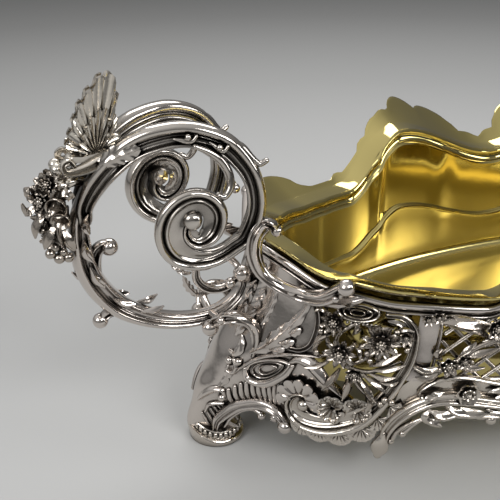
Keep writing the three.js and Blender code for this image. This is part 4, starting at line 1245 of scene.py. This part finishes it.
def end_shell():
    skin_plate = wall_plate(-27, 27, skirt_edge, panel_top, 109, 61, skin_out)
    spine = [(11.2, 65.0), (15.2, 71.0), (18.2, 79.0), (20.2, 85.5), (21.8, 93.5), (22.5, 98.5),
             (23.0, 103.0)]
    half = [skin_leaf(spine, [3, 7.5, 10.5, 9, 6, 4, 1.6], lobes=5, out=0.8, crown=0.2, deep=0.34)]
    for corners, width in (([(16.0, 70.6), (17.8, 70.6), (20.2, 73.4)], 5.2),
                           ([(18.0, 76.0), (19.8, 75.8), (21.9, 78.6)], 5.4),
                           ([(19.6, 82.0), (21.0, 82.4), (22.6, 85.6)], 5.0)):
        half.append(skin_leaf([(d, z, 0.8 + 0.7 * i) for i, (d, z) in enumerate(corners)],
                              [2, width, 1.2], lobes=2, count=15, crown=0.35))
    for corners, width in (([(2.4, 74), (2.2, 90), (2.4, 104), (2.8, 116)], 10),
                           ([(5.4, 70), (6.6, 82), (7.2, 96), (7.0, 112)], 11),
                           ([(10.4, 72), (12.0, 82), (13.2, 92), (13.4, 104)], 3.6)):
        half.append(skin_leaf(corners, [4, width, width, 3], lobes=6, out=0.2, crown=0.16, deep=0.3))
    half.append(skin_scroll([(8.5, 52), (10.2, 56.5), (12.5, 61.3), (15.2, 65.4), (18.8, 69), (22, 71.4),
                             (25.2, 72.9), (28.2, 73.7)], 80, [1.6, 2.8, 3.0, 2.8, 2.6, 2.2], 3.8, 1.0,
                            RIDGE_SECTION))
    half.append(skin_scroll(MUSSEL, 80, 2.4, 3.4, 1.2, RIDGE_SECTION, loop=True))
    middle = np.array([16.5, 59.0])
    for share, size in ((0.72, 1.3), (0.42, 1.1)):
        ring = [tuple(middle + (np.array(c) - middle) * share) for c in MUSSEL]
        half.append(skin_scroll(ring, 60, size, 2.2, 0.6, RIDGE_SECTION, loop=True))
    half.append(skin_scroll([(10.8, 56), (11.2, 50.8), (13.5, 48.8), (16.6, 50.4), (19.6, 55.4),
                             (21.8, 60.6), (22.8, 65.4)], 60, [2.2, 4.0, 4.6, 4.2, 2.6],
                            [3, 4.8, 5.4, 4.8, 3], 1.4, ROUND))
    for i in range(11):
        place = i / 10 * (len(FLUTE_TOPS) - 1)
        top, low = (np.array([np.interp(place, range(len(line)), axis) for axis in np.array(line).T])
                    for line in (FLUTE_TOPS, FLUTE_FEET))
        half.append(skin_scroll([tuple(top), tuple((top + low) / 2) + (0.8,), tuple(low)], 11,
                                [2.6, 3.4, 3.0], [2.4, 3.2, 2.6], 0.4, ROUND))
    arch = [(3.8, 11), (4.2, 17), (5.8, 24.5), (7.8, 29.5), (10.2, 32.0), (13.2, 34.2), (16.5, 34.2),
            (19, 32), (20.8, 27.5), (20.8, 24.5)]
    half.append(skin_scroll(arch, 100, [4.0, 6.6, 8.0, 8.4, 8.0, 6.6, 5.4], [4, 5.4, 6.4, 6.4, 6, 5.4, 5],
                            1.6))
    half += [bead(wall(20.9, 24.4, 1.8), 4.2), bead(wall(17.8, 27.0, 0.8), 2.8)]
    half.append(skin_scroll([(4.8, 12), (5.8, 18.6), (8, 24.4), (10.8, 26.9), (13.2, 26.0)], 40,
                            [2.4, 3.4, 3.8, 3.2], 4.0, 0.8, RIDGE_SECTION))
    half.append(bead(wall(13.4, 24.0, 1.0), 2.6))
    return together([skin_plate, both_sides(together(half))])


at_both("end_shell", ("left", "right"), end_shell(), POLISHED)


def fluted_skirt():
    loop = skin_scroll([(23.2, 103), (24.8, 98), (25.7, 92), (26.0, 85), (25.5, 78.5), (23.8, 75.2),
                        (21.6, 74.6)], 60, [2.6, 3.4, 3.8, 3.8, 3.2, 2.4], 4.2, 1.2)
    broad = [(22.2, 67.4), (24.0, 69.8), (26.6, 69.0), (28.6, 65.2), (30.0, 61.6), (32.2, 56.5),
             (33.5, 53.0)]
    broad = wall_scroll(broad, 60, [2.5, 6.0, 8.0, 7.6, 6.0, 3.6, 1.6], [3, 5, 6, 6, 5, 4, 2], 1.6,
                        RIDGE_SECTION)
    shell = wall_fan(24.6, 46.2, 2.0, 4.4, 12.8, 204, -24, 7, depth=1.3, dish=1.2, lift=0.8, rim=0.18,
                     plump=True)
    return together([loop, broad, shell])


at_four_quarters("fluted_skirt", fluted_skirt(), POLISHED)

# %% [markdown]
# The great C-scroll frames the floral panel. It starts in a volute beside the fan, swings under
# the flowers and climbs to the rim, where it turns over as a leaf. Below it hangs a border of
# small fluted shells.

# %% C-scroll frame
C_SCROLL = [(27.6, 41.5), (27.4, 45.5), (25.6, 48.2), (23.7, 46.4), (22.8, 41.5), (23.3, 36.8),
            (25.0, 33.6), (27.6, 32.8), (30.4, 33.8), (33.0, 36.0), (36.1, 40.2), (39.2, 48.5),
            (41.7, 59.5), (43.2, 69.4), (44.0, 77.5), (44.1, 85.5), (43.8, 92.0), (42.7, 97.0),
            (41.0, 100.4), (38.6, 100.6)]
C_WIDTHS = [3, 4.8, 6, 7.5, 9.5, 11.5, 13, 13.5, 13, 12, 10, 8.6, 7.4, 6.6, 6, 5.4, 4.6, 4.0, 3.4, 2.6]


def scroll_frame():
    depths = [4, 5.4, 6.4, 7.5, 8.5, 8.5, 8, 7, 6, 5.5, 5.2, 4.6, 4, 3.6]
    share = eased((np.linspace(0, 1, 210) - 0.3) / 0.3)[:, None, None]
    section = COIL_SECTION + (ARM_SECTION - COIL_SECTION) * share
    shapes = [wall_scroll(C_SCROLL, 210, C_WIDTHS, depths, 1.4, section, turn=-1),
              bead(wall(25.6, 43.4, 2.2), 3.4)]
    for inset, size in ((0.62, 2.2), (0.34, 2.0)):
        corners = [(30.2 + (d - 30.2) * inset, 46 + (z - 46) * inset) for d, z in C_SCROLL[5:12]]
        shapes.append(wall_scroll(corners, 50, [1.0, size, size, size, 0.8], [1.6, 3.0, 3.0, 2.4, 1.4],
                                  1.4, RIDGE_SECTION))
    ground = wall_plate(25.0, 38.5, lambda d: 33 + 0.07 * (d - 28) ** 2,
                        lambda d: 66 - 1.75 * np.maximum(d - 28.5, 0) ** 1.05 - 0.1 * (d - 25), 28, 17,
                        thickness=2.0)
    shapes.append(ground)
    for degrees, height, outer, first, last, ribs in ((25.2, 29.6, 6.6, -196, -60, 5),
                                                      (28.9, 29.2, 8.0, -176, -20, 7),
                                                      (33.1, 30.0, 8.4, -164, -8, 7),
                                                      (37.2, 34.6, 8.4, -146, 8, 7),
                                                      (40.0, 42.0, 7.2, -120, 20, 6),
                                                      (42.0, 50.6, 6.4, -100, 30, 6)):
        shapes.append(wall_fan(degrees, height, 0.4, 1.0, outer, first, last, ribs, depth=0.7, lift=0.2,
                               dish=1.6, rim=0.05, plump=True))
    for degrees, height, outer, first, last, ribs in ((31.8, 45.6, 6.8, 20, 300, 8),
                                                      (36.4, 47.2, 6.4, -100, 150, 7)):
        shapes.append(wall_fan(degrees, height, 1.6, 1.2, outer * 1.12, first, last, ribs, depth=1.3,
                               dish=1.4, lift=0.8, rim=0.2))
    shapes.append(wall_leaf([(34.2, 41.4), (34.4, 46.0), (33.4, 52.0)], [2, 5.4, 1.6], lobes=2, out=2.0,
                            curl=1.4))
    for long, tall, width in ((3.9, 4.6, 2.2), (2.7, 3.0, 1.5), (1.4, 1.5, 1.3)):
        oval = on_wall([(33.2 + long * math.cos(a), 100.6 + tall * math.sin(a))
                        for a in np.linspace(0, 2 * math.pi, 21)[:-1]] + [(33.2 + long, 100.6)], 60,
                       1.6)[:-1]
        shapes.append(tube(oval, outward(oval), width, 3.6, RIDGE_SECTION, loop=True))
    shapes.append(wall_plate(29.4, 37.0, lambda d: 95.8 + 0.1 * (d - 33.2) ** 2, panel_top, 17, 7,
                             thickness=1.8))
    shapes += [bead(wall(d, 94.4, 1.8), 0.9, fine=False) for d in np.arange(31.6, 38.0, 0.75)]
    shapes.append(wall_leaf([(43.0, 84.0), (42.6, 90.0), (41.2, 95.4), (38.8, 97.4)], [2, 4.6, 4.4, 1.4],
                            lobes=3, out=1.6, curl=0.6))
    shapes.append(wall_scroll([(d, float(panel_top(d)) + 0.4) for d in np.linspace(23, 71, 25)], 90, 1.8,
                              2.8, 0.2, RIDGE_SECTION))
    return together(shapes)


at_four_quarters("scroll_frame", scroll_frame(), CHASED)

# %% [markdown]
# The flowers in the C-scroll are cast one by one and pinned to a branching stem. Two daisies lead,
# and lance-shaped leaves point down and out around them, with open gaps to the gold behind.

# %% Flower spray


def flower_spray():
    shapes = []
    stems = [[(27.6, 74.0), (30.6, 75.6), (34.0, 70.6), (38.0, 69.6), (42.6, 76.4)],
             [(33.6, 71.0), (36.6, 76.6), (38.6, 84.6), (37.4, 91.0), (35.0, 94.0)],
             [(31.4, 77.0), (30.4, 86.0), (32.4, 92.2), (34.0, 95.0)],
             [(34.6, 70.4), (36.0, 62.4), (38.2, 55.0)], [(38.6, 84.8), (42.0, 88.0), (44.0, 93.0)],
             [(31.0, 76.0), (28.6, 83.4), (27.4, 92.0), (26.6, 98.0)],
             [(38.0, 70.0), (40.4, 64.0), (42.0, 58.6)]]
    for stem in stems:
        shapes.append(wall_scroll(stem, 24, [1.8, 2.6, 1.8], [2.0, 2.8, 2.2], 0.6, ROUND))
    shapes.append(wall_flower(31.9, 79.6, 9.2, out=4.6, petals=10, rows=2, cup=0.16, width=0.15, heart=0.2))
    shapes.append(wall_flower(38.5, 87.0, 10.8, out=3.8, petals=11, rows=2, cup=0.2, width=0.14,
                              heart=0.18, tilt=0.1))
    shapes.append(wall_flower(29.0, 93.4, 7.0, out=2.6, petals=9, rows=2, cup=0.35, width=0.2, tilt=0.3))
    shapes.append(wall_flower(35.4, 70.0, 5.2, out=4.4, petals=7, rows=2, cup=0.45, width=0.26, tilt=-0.2))
    shapes.append(wall_flower(42.4, 90.0, 4.4, out=3.0, petals=7, rows=1, cup=0.5, width=0.3))
    blades = [((37.6, 73.4), (40.2, 77.6), (42.2, 82.8), 6.4),
              ((38.4, 71.4), (41.2, 73.4), (43.4, 77.0), 5.6),
              ((38.0, 69.4), (40.6, 68.2), (42.4, 70.4), 5.2),
              ((36.0, 68.0), (37.8, 61.4), (39.6, 54.4), 5.8),
              ((34.4, 68.6), (34.6, 61.4), (33.8, 53.6), 6.2),
              ((32.6, 70.4), (31.6, 64.0), (29.8, 57.6), 5.6),
              ((36.8, 69.0), (39.2, 65.0), (41.2, 61.2), 5.6),
              ((37.8, 58.0), (38.6, 52.0), (38.0, 47.4), 5.2),
              ((30.2, 72.8), (27.8, 69.0), (25.8, 68.4), 5.0),
              ((29.4, 88.0), (27.2, 84.0), (26.6, 78.4), 5.2),
              ((33.2, 88.2), (33.8, 92.4), (33.0, 96.4), 5.0),
              ((40.4, 92.0), (42.0, 94.4), (43.4, 94.4), 4.4),
              ((36.0, 91.4), (37.8, 94.2), (40.0, 95.0), 5.0),
              ((39.6, 66.0), (42.0, 65.4), (42.8, 68.0), 4.4),
              ((33.6, 84.6), (35.2, 81.4), (35.8, 77.2), 4.4),
              ((27.4, 97.6), (25.6, 99.6), (24.8, 98.4), 4.2)]
    for *corners, width in blades:
        corners = [(d, z, 2.0 + 1.6 * i) for i, (d, z) in enumerate(corners)]
        shapes.append(wall_leaf(corners, [1.4, width * 0.72, width * 0.56, 0.4], lobes=1, count=13,
                                crown=0.95, deep=0.08))
    for degrees, height, size in ((41.0, 56.4, 1.9), (42.2, 55.2, 1.9), (40.4, 53.8, 1.9),
                                  (36.6, 81.0, 1.7), (35.4, 84.2, 1.6), (33.8, 83.6, 1.5),
                                  (40.6, 93.2, 1.8), (43.0, 84.4, 1.7), (27.0, 88.8, 1.7),
                                  (27.4, 77.6, 1.7), (35.6, 66.2, 1.5), (37.4, 77.4, 1.6)):
        shapes.append(bead(wall(degrees, height, 4.4), size, fine=False))
    return together(shapes)


at_four_quarters("flower_spray", flower_spray(), OXIDISED, slot="oxidised_silver")

# %% [markdown]
# Right of the C-scroll come a plain strip, then the trellis. The trellis is pierced sheet: two
# families of slim bars that cross, each a tube that follows the wall, held in a thin frame.

# %% Plain strip and trellis


def pilaster():
    strip = wall_plate(44.2, 47.6, lambda d: 66 + 0 * d, panel_top, 11, 15, thickness=2.2)
    edge = wall_scroll([(47.9, 72), (48.0, 80), (48.0, 90), (47.8, 98)], 24, 1.8, 3.0, 0.4, RIDGE_SECTION)
    return together([strip, edge])


at_four_quarters("pilaster", pilaster(), POLISHED)


def trellis():
    shapes = []

    def low(d):
        return 67.5 + 0.06 * (d - 49.1)

    def high(d):
        return panel_top(d) - 0.6

    pitch = 3.85  # degrees between two bars of a family
    slope = 2.8  # millimetres that a bar climbs in one degree
    for direction in (1, -1):
        for start in np.arange(51.7 - 20 * pitch, 72 + 20 * pitch, pitch):
            degrees = np.linspace(48.7, 72.2, 240)
            height = 68 + direction * (degrees - start) * slope
            keep = (height > low(degrees)) & (height < high(degrees))
            if keep.sum() < 4:
                continue
            line = wall(degrees[keep], height[keep], 0.15 * direction)
            line = evenly(line, max(5, int(keep.sum() / 5)))
            shapes.append(tube(line, outward(line), 2.3, 2.0, REED_SECTION))
    frame_top = wall_scroll([(d, float(high(d))) for d in np.linspace(49.2, 72.2, 12)], 40, 2.6, 2.8, 0,
                            RIDGE_SECTION)
    frame_low = wall_scroll([(d, float(low(d))) for d in np.linspace(49.2, 72.2, 8)], 40, 2.4, 2.8, 0,
                            RIDGE_SECTION)
    return together(shapes + [frame_top, frame_low])


at_four_quarters("trellis", trellis(), CHASED)

# %% [markdown]
# A garland of leaves and small flowers is slung across the trellis, from the strip up to the rim.

# %% Garland


def garland():
    shapes = [wall_scroll([(44.9, 75.5), (47.6, 73.6), (50.2, 76.8), (53.4, 85.7), (58, 93.0), (63, 99.5),
                           (68, 106)], 60, [1.4, 2.4, 2.6, 2.2, 1.6], [2, 3, 3, 2.4], 3.0, ROUND)]
    for degrees, height, radius, petals in ((50.0, 77.4, 5.6, 7), (52.2, 79.8, 4.4, 6),
                                            (56.0, 97.0, 6.0, 8), (58.6, 99.6, 5.0, 7),
                                            (64.0, 101.0, 5.0, 7), (68.4, 107.0, 6.4, 8)):
        shapes.append(wall_flower(degrees, height, radius, out=4.2, petals=petals, rows=2, cup=0.45,
                                  width=0.3, point=0.6))
    blades = [((49.4, 75.6), (47.0, 73.2), (44.9, 75.6), 5.0),
              ((49.2, 74.4), (47.6, 70.0), (45.4, 70.6), 4.8),
              ((51.4, 80.6), (52.8, 85.6), (53.2, 89.6), 4.6),
              ((52.2, 80.4), (54.6, 83.0), (56.8, 86.6), 4.6),
              ((53.4, 85.6), (55.6, 88.6), (57.8, 90.4), 4.4),
              ((51.0, 76.4), (53.4, 75.4), (55.4, 76.4), 4.4),
              ((55.0, 91.0), (53.6, 94.4), (51.6, 96.4), 4.6),
              ((58.0, 95.0), (60.6, 94.0), (62.6, 95.6), 4.4),
              ((60.4, 98.4), (61.6, 102.6), (61.2, 106.4), 4.4),
              ((65.0, 102.0), (67.4, 101.0), (69.6, 102.4), 4.4),
              ((49.0, 79.0), (48.0, 82.0), (48.4, 86.0), 4.0)]
    for *corners, width in blades:
        corners = [(d, z, 2.4 + 1.0 * i) for i, (d, z) in enumerate(corners)]
        shapes.append(wall_leaf(corners, [1.4, width, width * 0.8, 0.6], lobes=1, count=13, crown=0.45,
                                deep=0.08))
    drape = wall_leaf([(46.0, 99.4, 1.0), (48.6, 99.6, 2.2), (52.0, 97.6, 2.4), (55.0, 96.4, 1.6)],
                      [3, 8, 8, 3], lobes=1, count=20, crown=0.8, deep=0.05)
    for degrees, height in ((45.4, 100.4), (47.0, 101.8), (48.6, 101.0)):
        shapes.append(wall_flower(degrees, height, 3.4, out=3.4, petals=6, rows=1, cup=0.5, width=0.32,
                                  point=0.6))
    return together(shapes + [drape])


at_four_quarters("garland", garland(), OXIDISED, slot="oxidised_silver")

# %% [markdown]
# The apron is the lower border of the front. A bold scroll rises from a drop beside the C-scroll,
# runs under the trellis and ends in a curl below the centre panel. Above it is a plain spandrel
# with a rosette.

# %% Apron


def apron_scroll():
    band = wall_scroll([(41.0, 26), (41.9, 36.4), (43.5, 44.4), (46.2, 52.2), (48.6, 56.2), (51.2, 57.6),
                        (54.0, 57.0), (57.5, 55.0), (62.0, 52.0), (67.6, 51.0), (73.0, 47.6),
                        (77.6, 44.6), (80.8, 46.4), (81.4, 50.6), (79.6, 52.6), (78.2, 50.4)], 160,
                       [5.0, 7.4, 7.8, 7.6, 7.0, 6.6, 6.4, 7.0, 7.2, 6.6, 5.0],
                       [5, 6, 6.5, 6, 5.5, 6, 6, 6, 5], 1.2)
    ridge = wall_scroll([(48.2, 58.8), (47.0, 58.0), (46.5, 60.0), (47.1, 63.0), (48.3, 66.1),
                         (49.9, 68.3), (51.9, 69.6), (54.0, 69.0), (56.4, 67.2), (60.0, 64.8),
                         (65.0, 63.2), (71.0, 64.4)], 70, [1.6, 3.0, 3.4, 3.2, 2.6], 4.0, 1.0,
                        RIDGE_SECTION)

    def low(d):
        places = [42.4, 45.4, 48.4, 52.2, 57, 62, 67.6, 72.2]
        return np.interp(d, places, [38, 48, 53, 56, 55.5, 52, 51, 48])

    def high(d):
        return np.interp(d, [42.4, 43.6, 45.4, 72.2], [46, 62, 67.8, 67.2])

    ground = wall_plate(42.4, 72.2, low, high, 60, 9, thickness=2.2)
    drop = tube(wall(np.linspace(40.4, 41.2, 12), np.linspace(18.5, 33, 12), 1.6),
                wall_normal(np.full(12, 41.0)), [4.6, 9.4, 9.6, 7.0, 3.6], [4, 6.4, 7, 6, 4])
    shapes = [band, ridge, ground, drop]
    for strand in ([(42.6, 28.0), (43.5, 34.6), (45.8, 41.8)], [(44.5, 33.4), (46.2, 40.2), (48.8, 46.6)]):
        shapes += [wall_scroll(strand, 24, [3.4, 3.2, 1.8], 3.4, 0.6, RIDGE_SECTION),
                   bead(wall(*strand[0], 0.8), 1.9)]
    shapes.append(wall_flower(53.8, 61.8, 6.4, out=3.2, petals=6, rows=3, cup=0.35, width=0.44, point=0.4,
                              heart=0.16))
    leaves = [[(50.4, 56.4), (51.8, 51.0), (54.4, 49.0), (57.2, 50.6)],
              [(53.0, 52.0), (56.4, 48.0), (60.4, 48.4)], [(48.6, 51.6), (48.0, 46.4), (50.4, 41.6)],
              [(57.0, 55.0), (60.0, 58.4), (63.4, 58.0)], [(50.4, 61.4), (48.6, 59.0), (47.4, 56.0)],
              [(56.8, 61.4), (59.4, 62.4), (62.6, 60.8)]]
    for corners in leaves:
        corners = [(d, z, 2.0 + 1.2 * i) for i, (d, z) in enumerate(corners)]
        shapes.append(wall_leaf(corners, [1.6, 5.6, 5.0, 0.8], lobes=2, count=17, crown=0.4))
    shapes.append(wall_leaf([(48.2, 50.6, 2.6), (50.2, 47.6, 3.4), (53.0, 48.4, 3.0)], [3, 7.0, 5.0, 2],
                            lobes=1, count=15, crown=0.5))
    shapes.append(bead(wall(57.8, 44.6, 2.0), 3.0))
    shapes.append(wall_scroll([(57.2, 50.4), (58.6, 48.0), (57.9, 45.2)], 12, [3, 2.6, 2.0], 3.4, 1.6,
                              ROUND))
    shapes.append(wall_scroll([(43.4, 33.0), (46.6, 42.4), (50.0, 47.2)], 24, [1.4, 2.6, 1.6], 2.8, 0.6,
                              RIDGE_SECTION))
    return together(shapes)


at_four_quarters("apron_scroll", apron_scroll(), CHASED)

# %% [markdown]
# The middle of each long side carries a cartouche: a plain oval shield in a scrolled frame, with a
# shell above it and leaves at its sides. It is left blank.

# %% Centre panels


def centre_panel():
    def foot_edge(d):
        return 60 - 8 * np.sin(np.radians((d - 72.4) * 180 / 35.2))

    def boss(d, z):
        return 1.2 * np.exp(-((d - 90) / 7) ** 2 - ((z - 84) / 16) ** 2)

    base = wall_plate(72.4, 107.6, foot_edge, panel_top, 61, 31, boss)
    oval = on_wall([(90 + 7.4 * math.cos(a), 84 + 16.5 * math.sin(a))
                    for a in np.linspace(0, 2 * math.pi, 25)[:-1]] + [(97.4, 84)], 90, 1.2)[:-1]
    shapes = [base, tube(oval, outward(oval), 3.4, 3.6, RIDGE_SECTION, loop=True)]
    half = [wall_scroll([(89.6, 104.4), (86.0, 105.6), (82.4, 101.0), (80.6, 93.0), (80.2, 84),
                         (81.6, 75), (84.6, 68.4), (88.6, 64.6)], 70, [2.4, 4.6, 5.4, 5.0, 5.0, 5.4, 3.4],
                        5.0, 1.8, REED_SECTION),
            wall_scroll([(80.6, 93.0), (77.6, 97.6), (75.0, 96.4), (75.2, 93.0), (76.8, 92.8)], 30,
                        [4, 4.4, 3.6, 2.4], 4.4, 1.6, REED_SECTION),
            wall_scroll([(81.4, 75.6), (78.0, 70.0), (75.2, 70.8), (75.4, 74.4), (77.0, 74.4)], 30,
                        [4, 4.4, 3.6, 2.4], 4.4, 1.6, REED_SECTION)]
    for corners in ([(79.4, 88.0), (76.6, 86.6), (74.0, 88.0)],
                    [(79.4, 82.0), (76.6, 80.6), (74.0, 79.0)],
                    [(84.6, 68.0), (82.0, 63.0), (78.6, 62.4)]):
        half.append(wall_leaf(corners, [2, 6.4, 1.0], lobes=2, out=1.8, curl=1.6))
    half.append(wall_flower(75.6, 83.6, 5.4, petals=8, rows=2, cup=0.4, width=0.28))
    half = together(half)
    shell = wall_fan(90, 101.0, 2.4, 2.6, 13.4, 165, 15, 9, depth=1.8, lift=1.0)
    foot_shell = wall_fan(90, 66.0, 2.4, 2.0, 9.0, -165, -15, 7, depth=1.5, lift=1.0)
    return together(shapes + [half, mirrored(half, x=-1), shell, foot_shell])


at_both("centre_panel", ("front", "back"), centre_panel(), CHASED)
print("pieces:", len(made), "triangles in all:", sum(made.values()))

# %% [markdown]
# The floor is one wide sheet of pale grey paper. Its colour is painted darker with distance
# from the middle, as light falls off on a studio sweep, so this darkening is painted shade. It is
# painted by its own distance from the middle, not by the camera.

# %% Floor
FADE_OVER = 2.4  # metres from the middle to the darkest tone


def studio_floor():
    bpy.ops.object.select_all(action="DESELECT")
    bpy.ops.mesh.primitive_circle_add(vertices=96, radius=6, fill_type="NGON", location=(0, 0, 0))
    sheet = bpy.context.object
    sheet.name = "studio_floor"
    material = bpy.data.materials.new("grey_paper")
    material.use_nodes = True
    tree = material.node_tree
    shader = tree.nodes["Principled BSDF"]
    shader.inputs["Roughness"].default_value = 0.9
    shader.inputs["Specular IOR Level"].default_value = 0.2
    place = add(tree, "ShaderNodeTexCoord").outputs["Object"]
    distance = add(tree, "ShaderNodeVectorMath", {0: place}, operation="LENGTH").outputs["Value"]
    share = add(tree, "ShaderNodeMath", {0: distance}, operation="DIVIDE")
    share.inputs[1].default_value = FADE_OVER
    # These tones are painted shade: the paper is darkened with distance as the light falls off.
    paper_falloff_shade = ramp(tree, share.outputs[0], [(0.0, linear("#B9B9B7")), (0.16, linear("#B2B2B1")),
                                          (0.34, linear("#9E9E9D")), (0.62, linear("#868685")),
                                          (1.0, linear("#747574"))])
    tree.links.new(paper_falloff_shade.outputs["Color"], shader.inputs["Base Color"])
    sheet.data.materials.append(material)


studio_floor()

# %% [markdown]
# Silver shows what surrounds it, so the light matters more than the colour. A large soft box hangs
# above and behind, smaller ones stand at the left front and the right, and one in front lifts the
# floor. The world is a plain grey room, bright above and at the left, dark towards the horizon and
# at the right, so the mouldings get their dark lines.

# %% Light


def soft_box(name, place, towards, size, size_y, power):
    lamp = bpy.data.lights.new(name, "AREA")
    lamp.shape = "RECTANGLE"
    lamp.size = size
    lamp.size_y = size_y
    lamp.energy = power
    box = bpy.data.objects.new(name, lamp)
    bpy.context.scene.collection.objects.link(box)
    box.location = place
    box.rotation_euler = (Vector(towards) - Vector(place)).to_track_quat("-Z", "Y").to_euler()


soft_box("box_above", (0.1, 0.9, 1.4), (0, 0, 0.1), 1.3, 0.6, 11)
soft_box("box_left", (-1.3, -0.6, 0.9), (-0.1, 0, 0.1), 0.7, 0.7, 7)
soft_box("box_front", (0.5, -1.7, 1.5), (0.15, -0.3, 0.0), 1.4, 0.6, 24)
soft_box("box_right", (1.3, -0.9, 0.75), (0, 0, 0.1), 0.35, 0.8, 6)


BRIGHT_SIDE = (-0.9, 0.35, 0.0)


def studio_world():
    world = bpy.data.worlds.new("grey_room")
    bpy.context.scene.world = world
    world.use_nodes = True
    tree = world.node_tree
    tree.nodes.clear()
    output = add(tree, "ShaderNodeOutputWorld")
    towards = add(tree, "ShaderNodeTexCoord").outputs["Generated"]
    height = add(tree, "ShaderNodeSeparateXYZ", {0: towards}).outputs["Z"]
    room = ramp(tree, height, [(0.0, grey(0.16)), (0.12, grey(0.19)), (0.3, grey(0.28)), (0.6, grey(0.4)),
                               (0.9, grey(0.6))])
    sideways = add(tree, "ShaderNodeVectorMath", {0: towards}, operation="DOT_PRODUCT")
    sideways.inputs[1].default_value = BRIGHT_SIDE
    level = add(tree, "ShaderNodeMapRange", {"Value": sideways.outputs["Value"]}, From_Min=-1.0,
                From_Max=1.0, To_Min=0.3, To_Max=1.7)
    shade = add(tree, "ShaderNodeBackground", {"Color": room.outputs["Color"],
                                               "Strength": level.outputs["Result"]})
    tree.links.new(shade.outputs["Background"], output.inputs["Surface"])


studio_world()
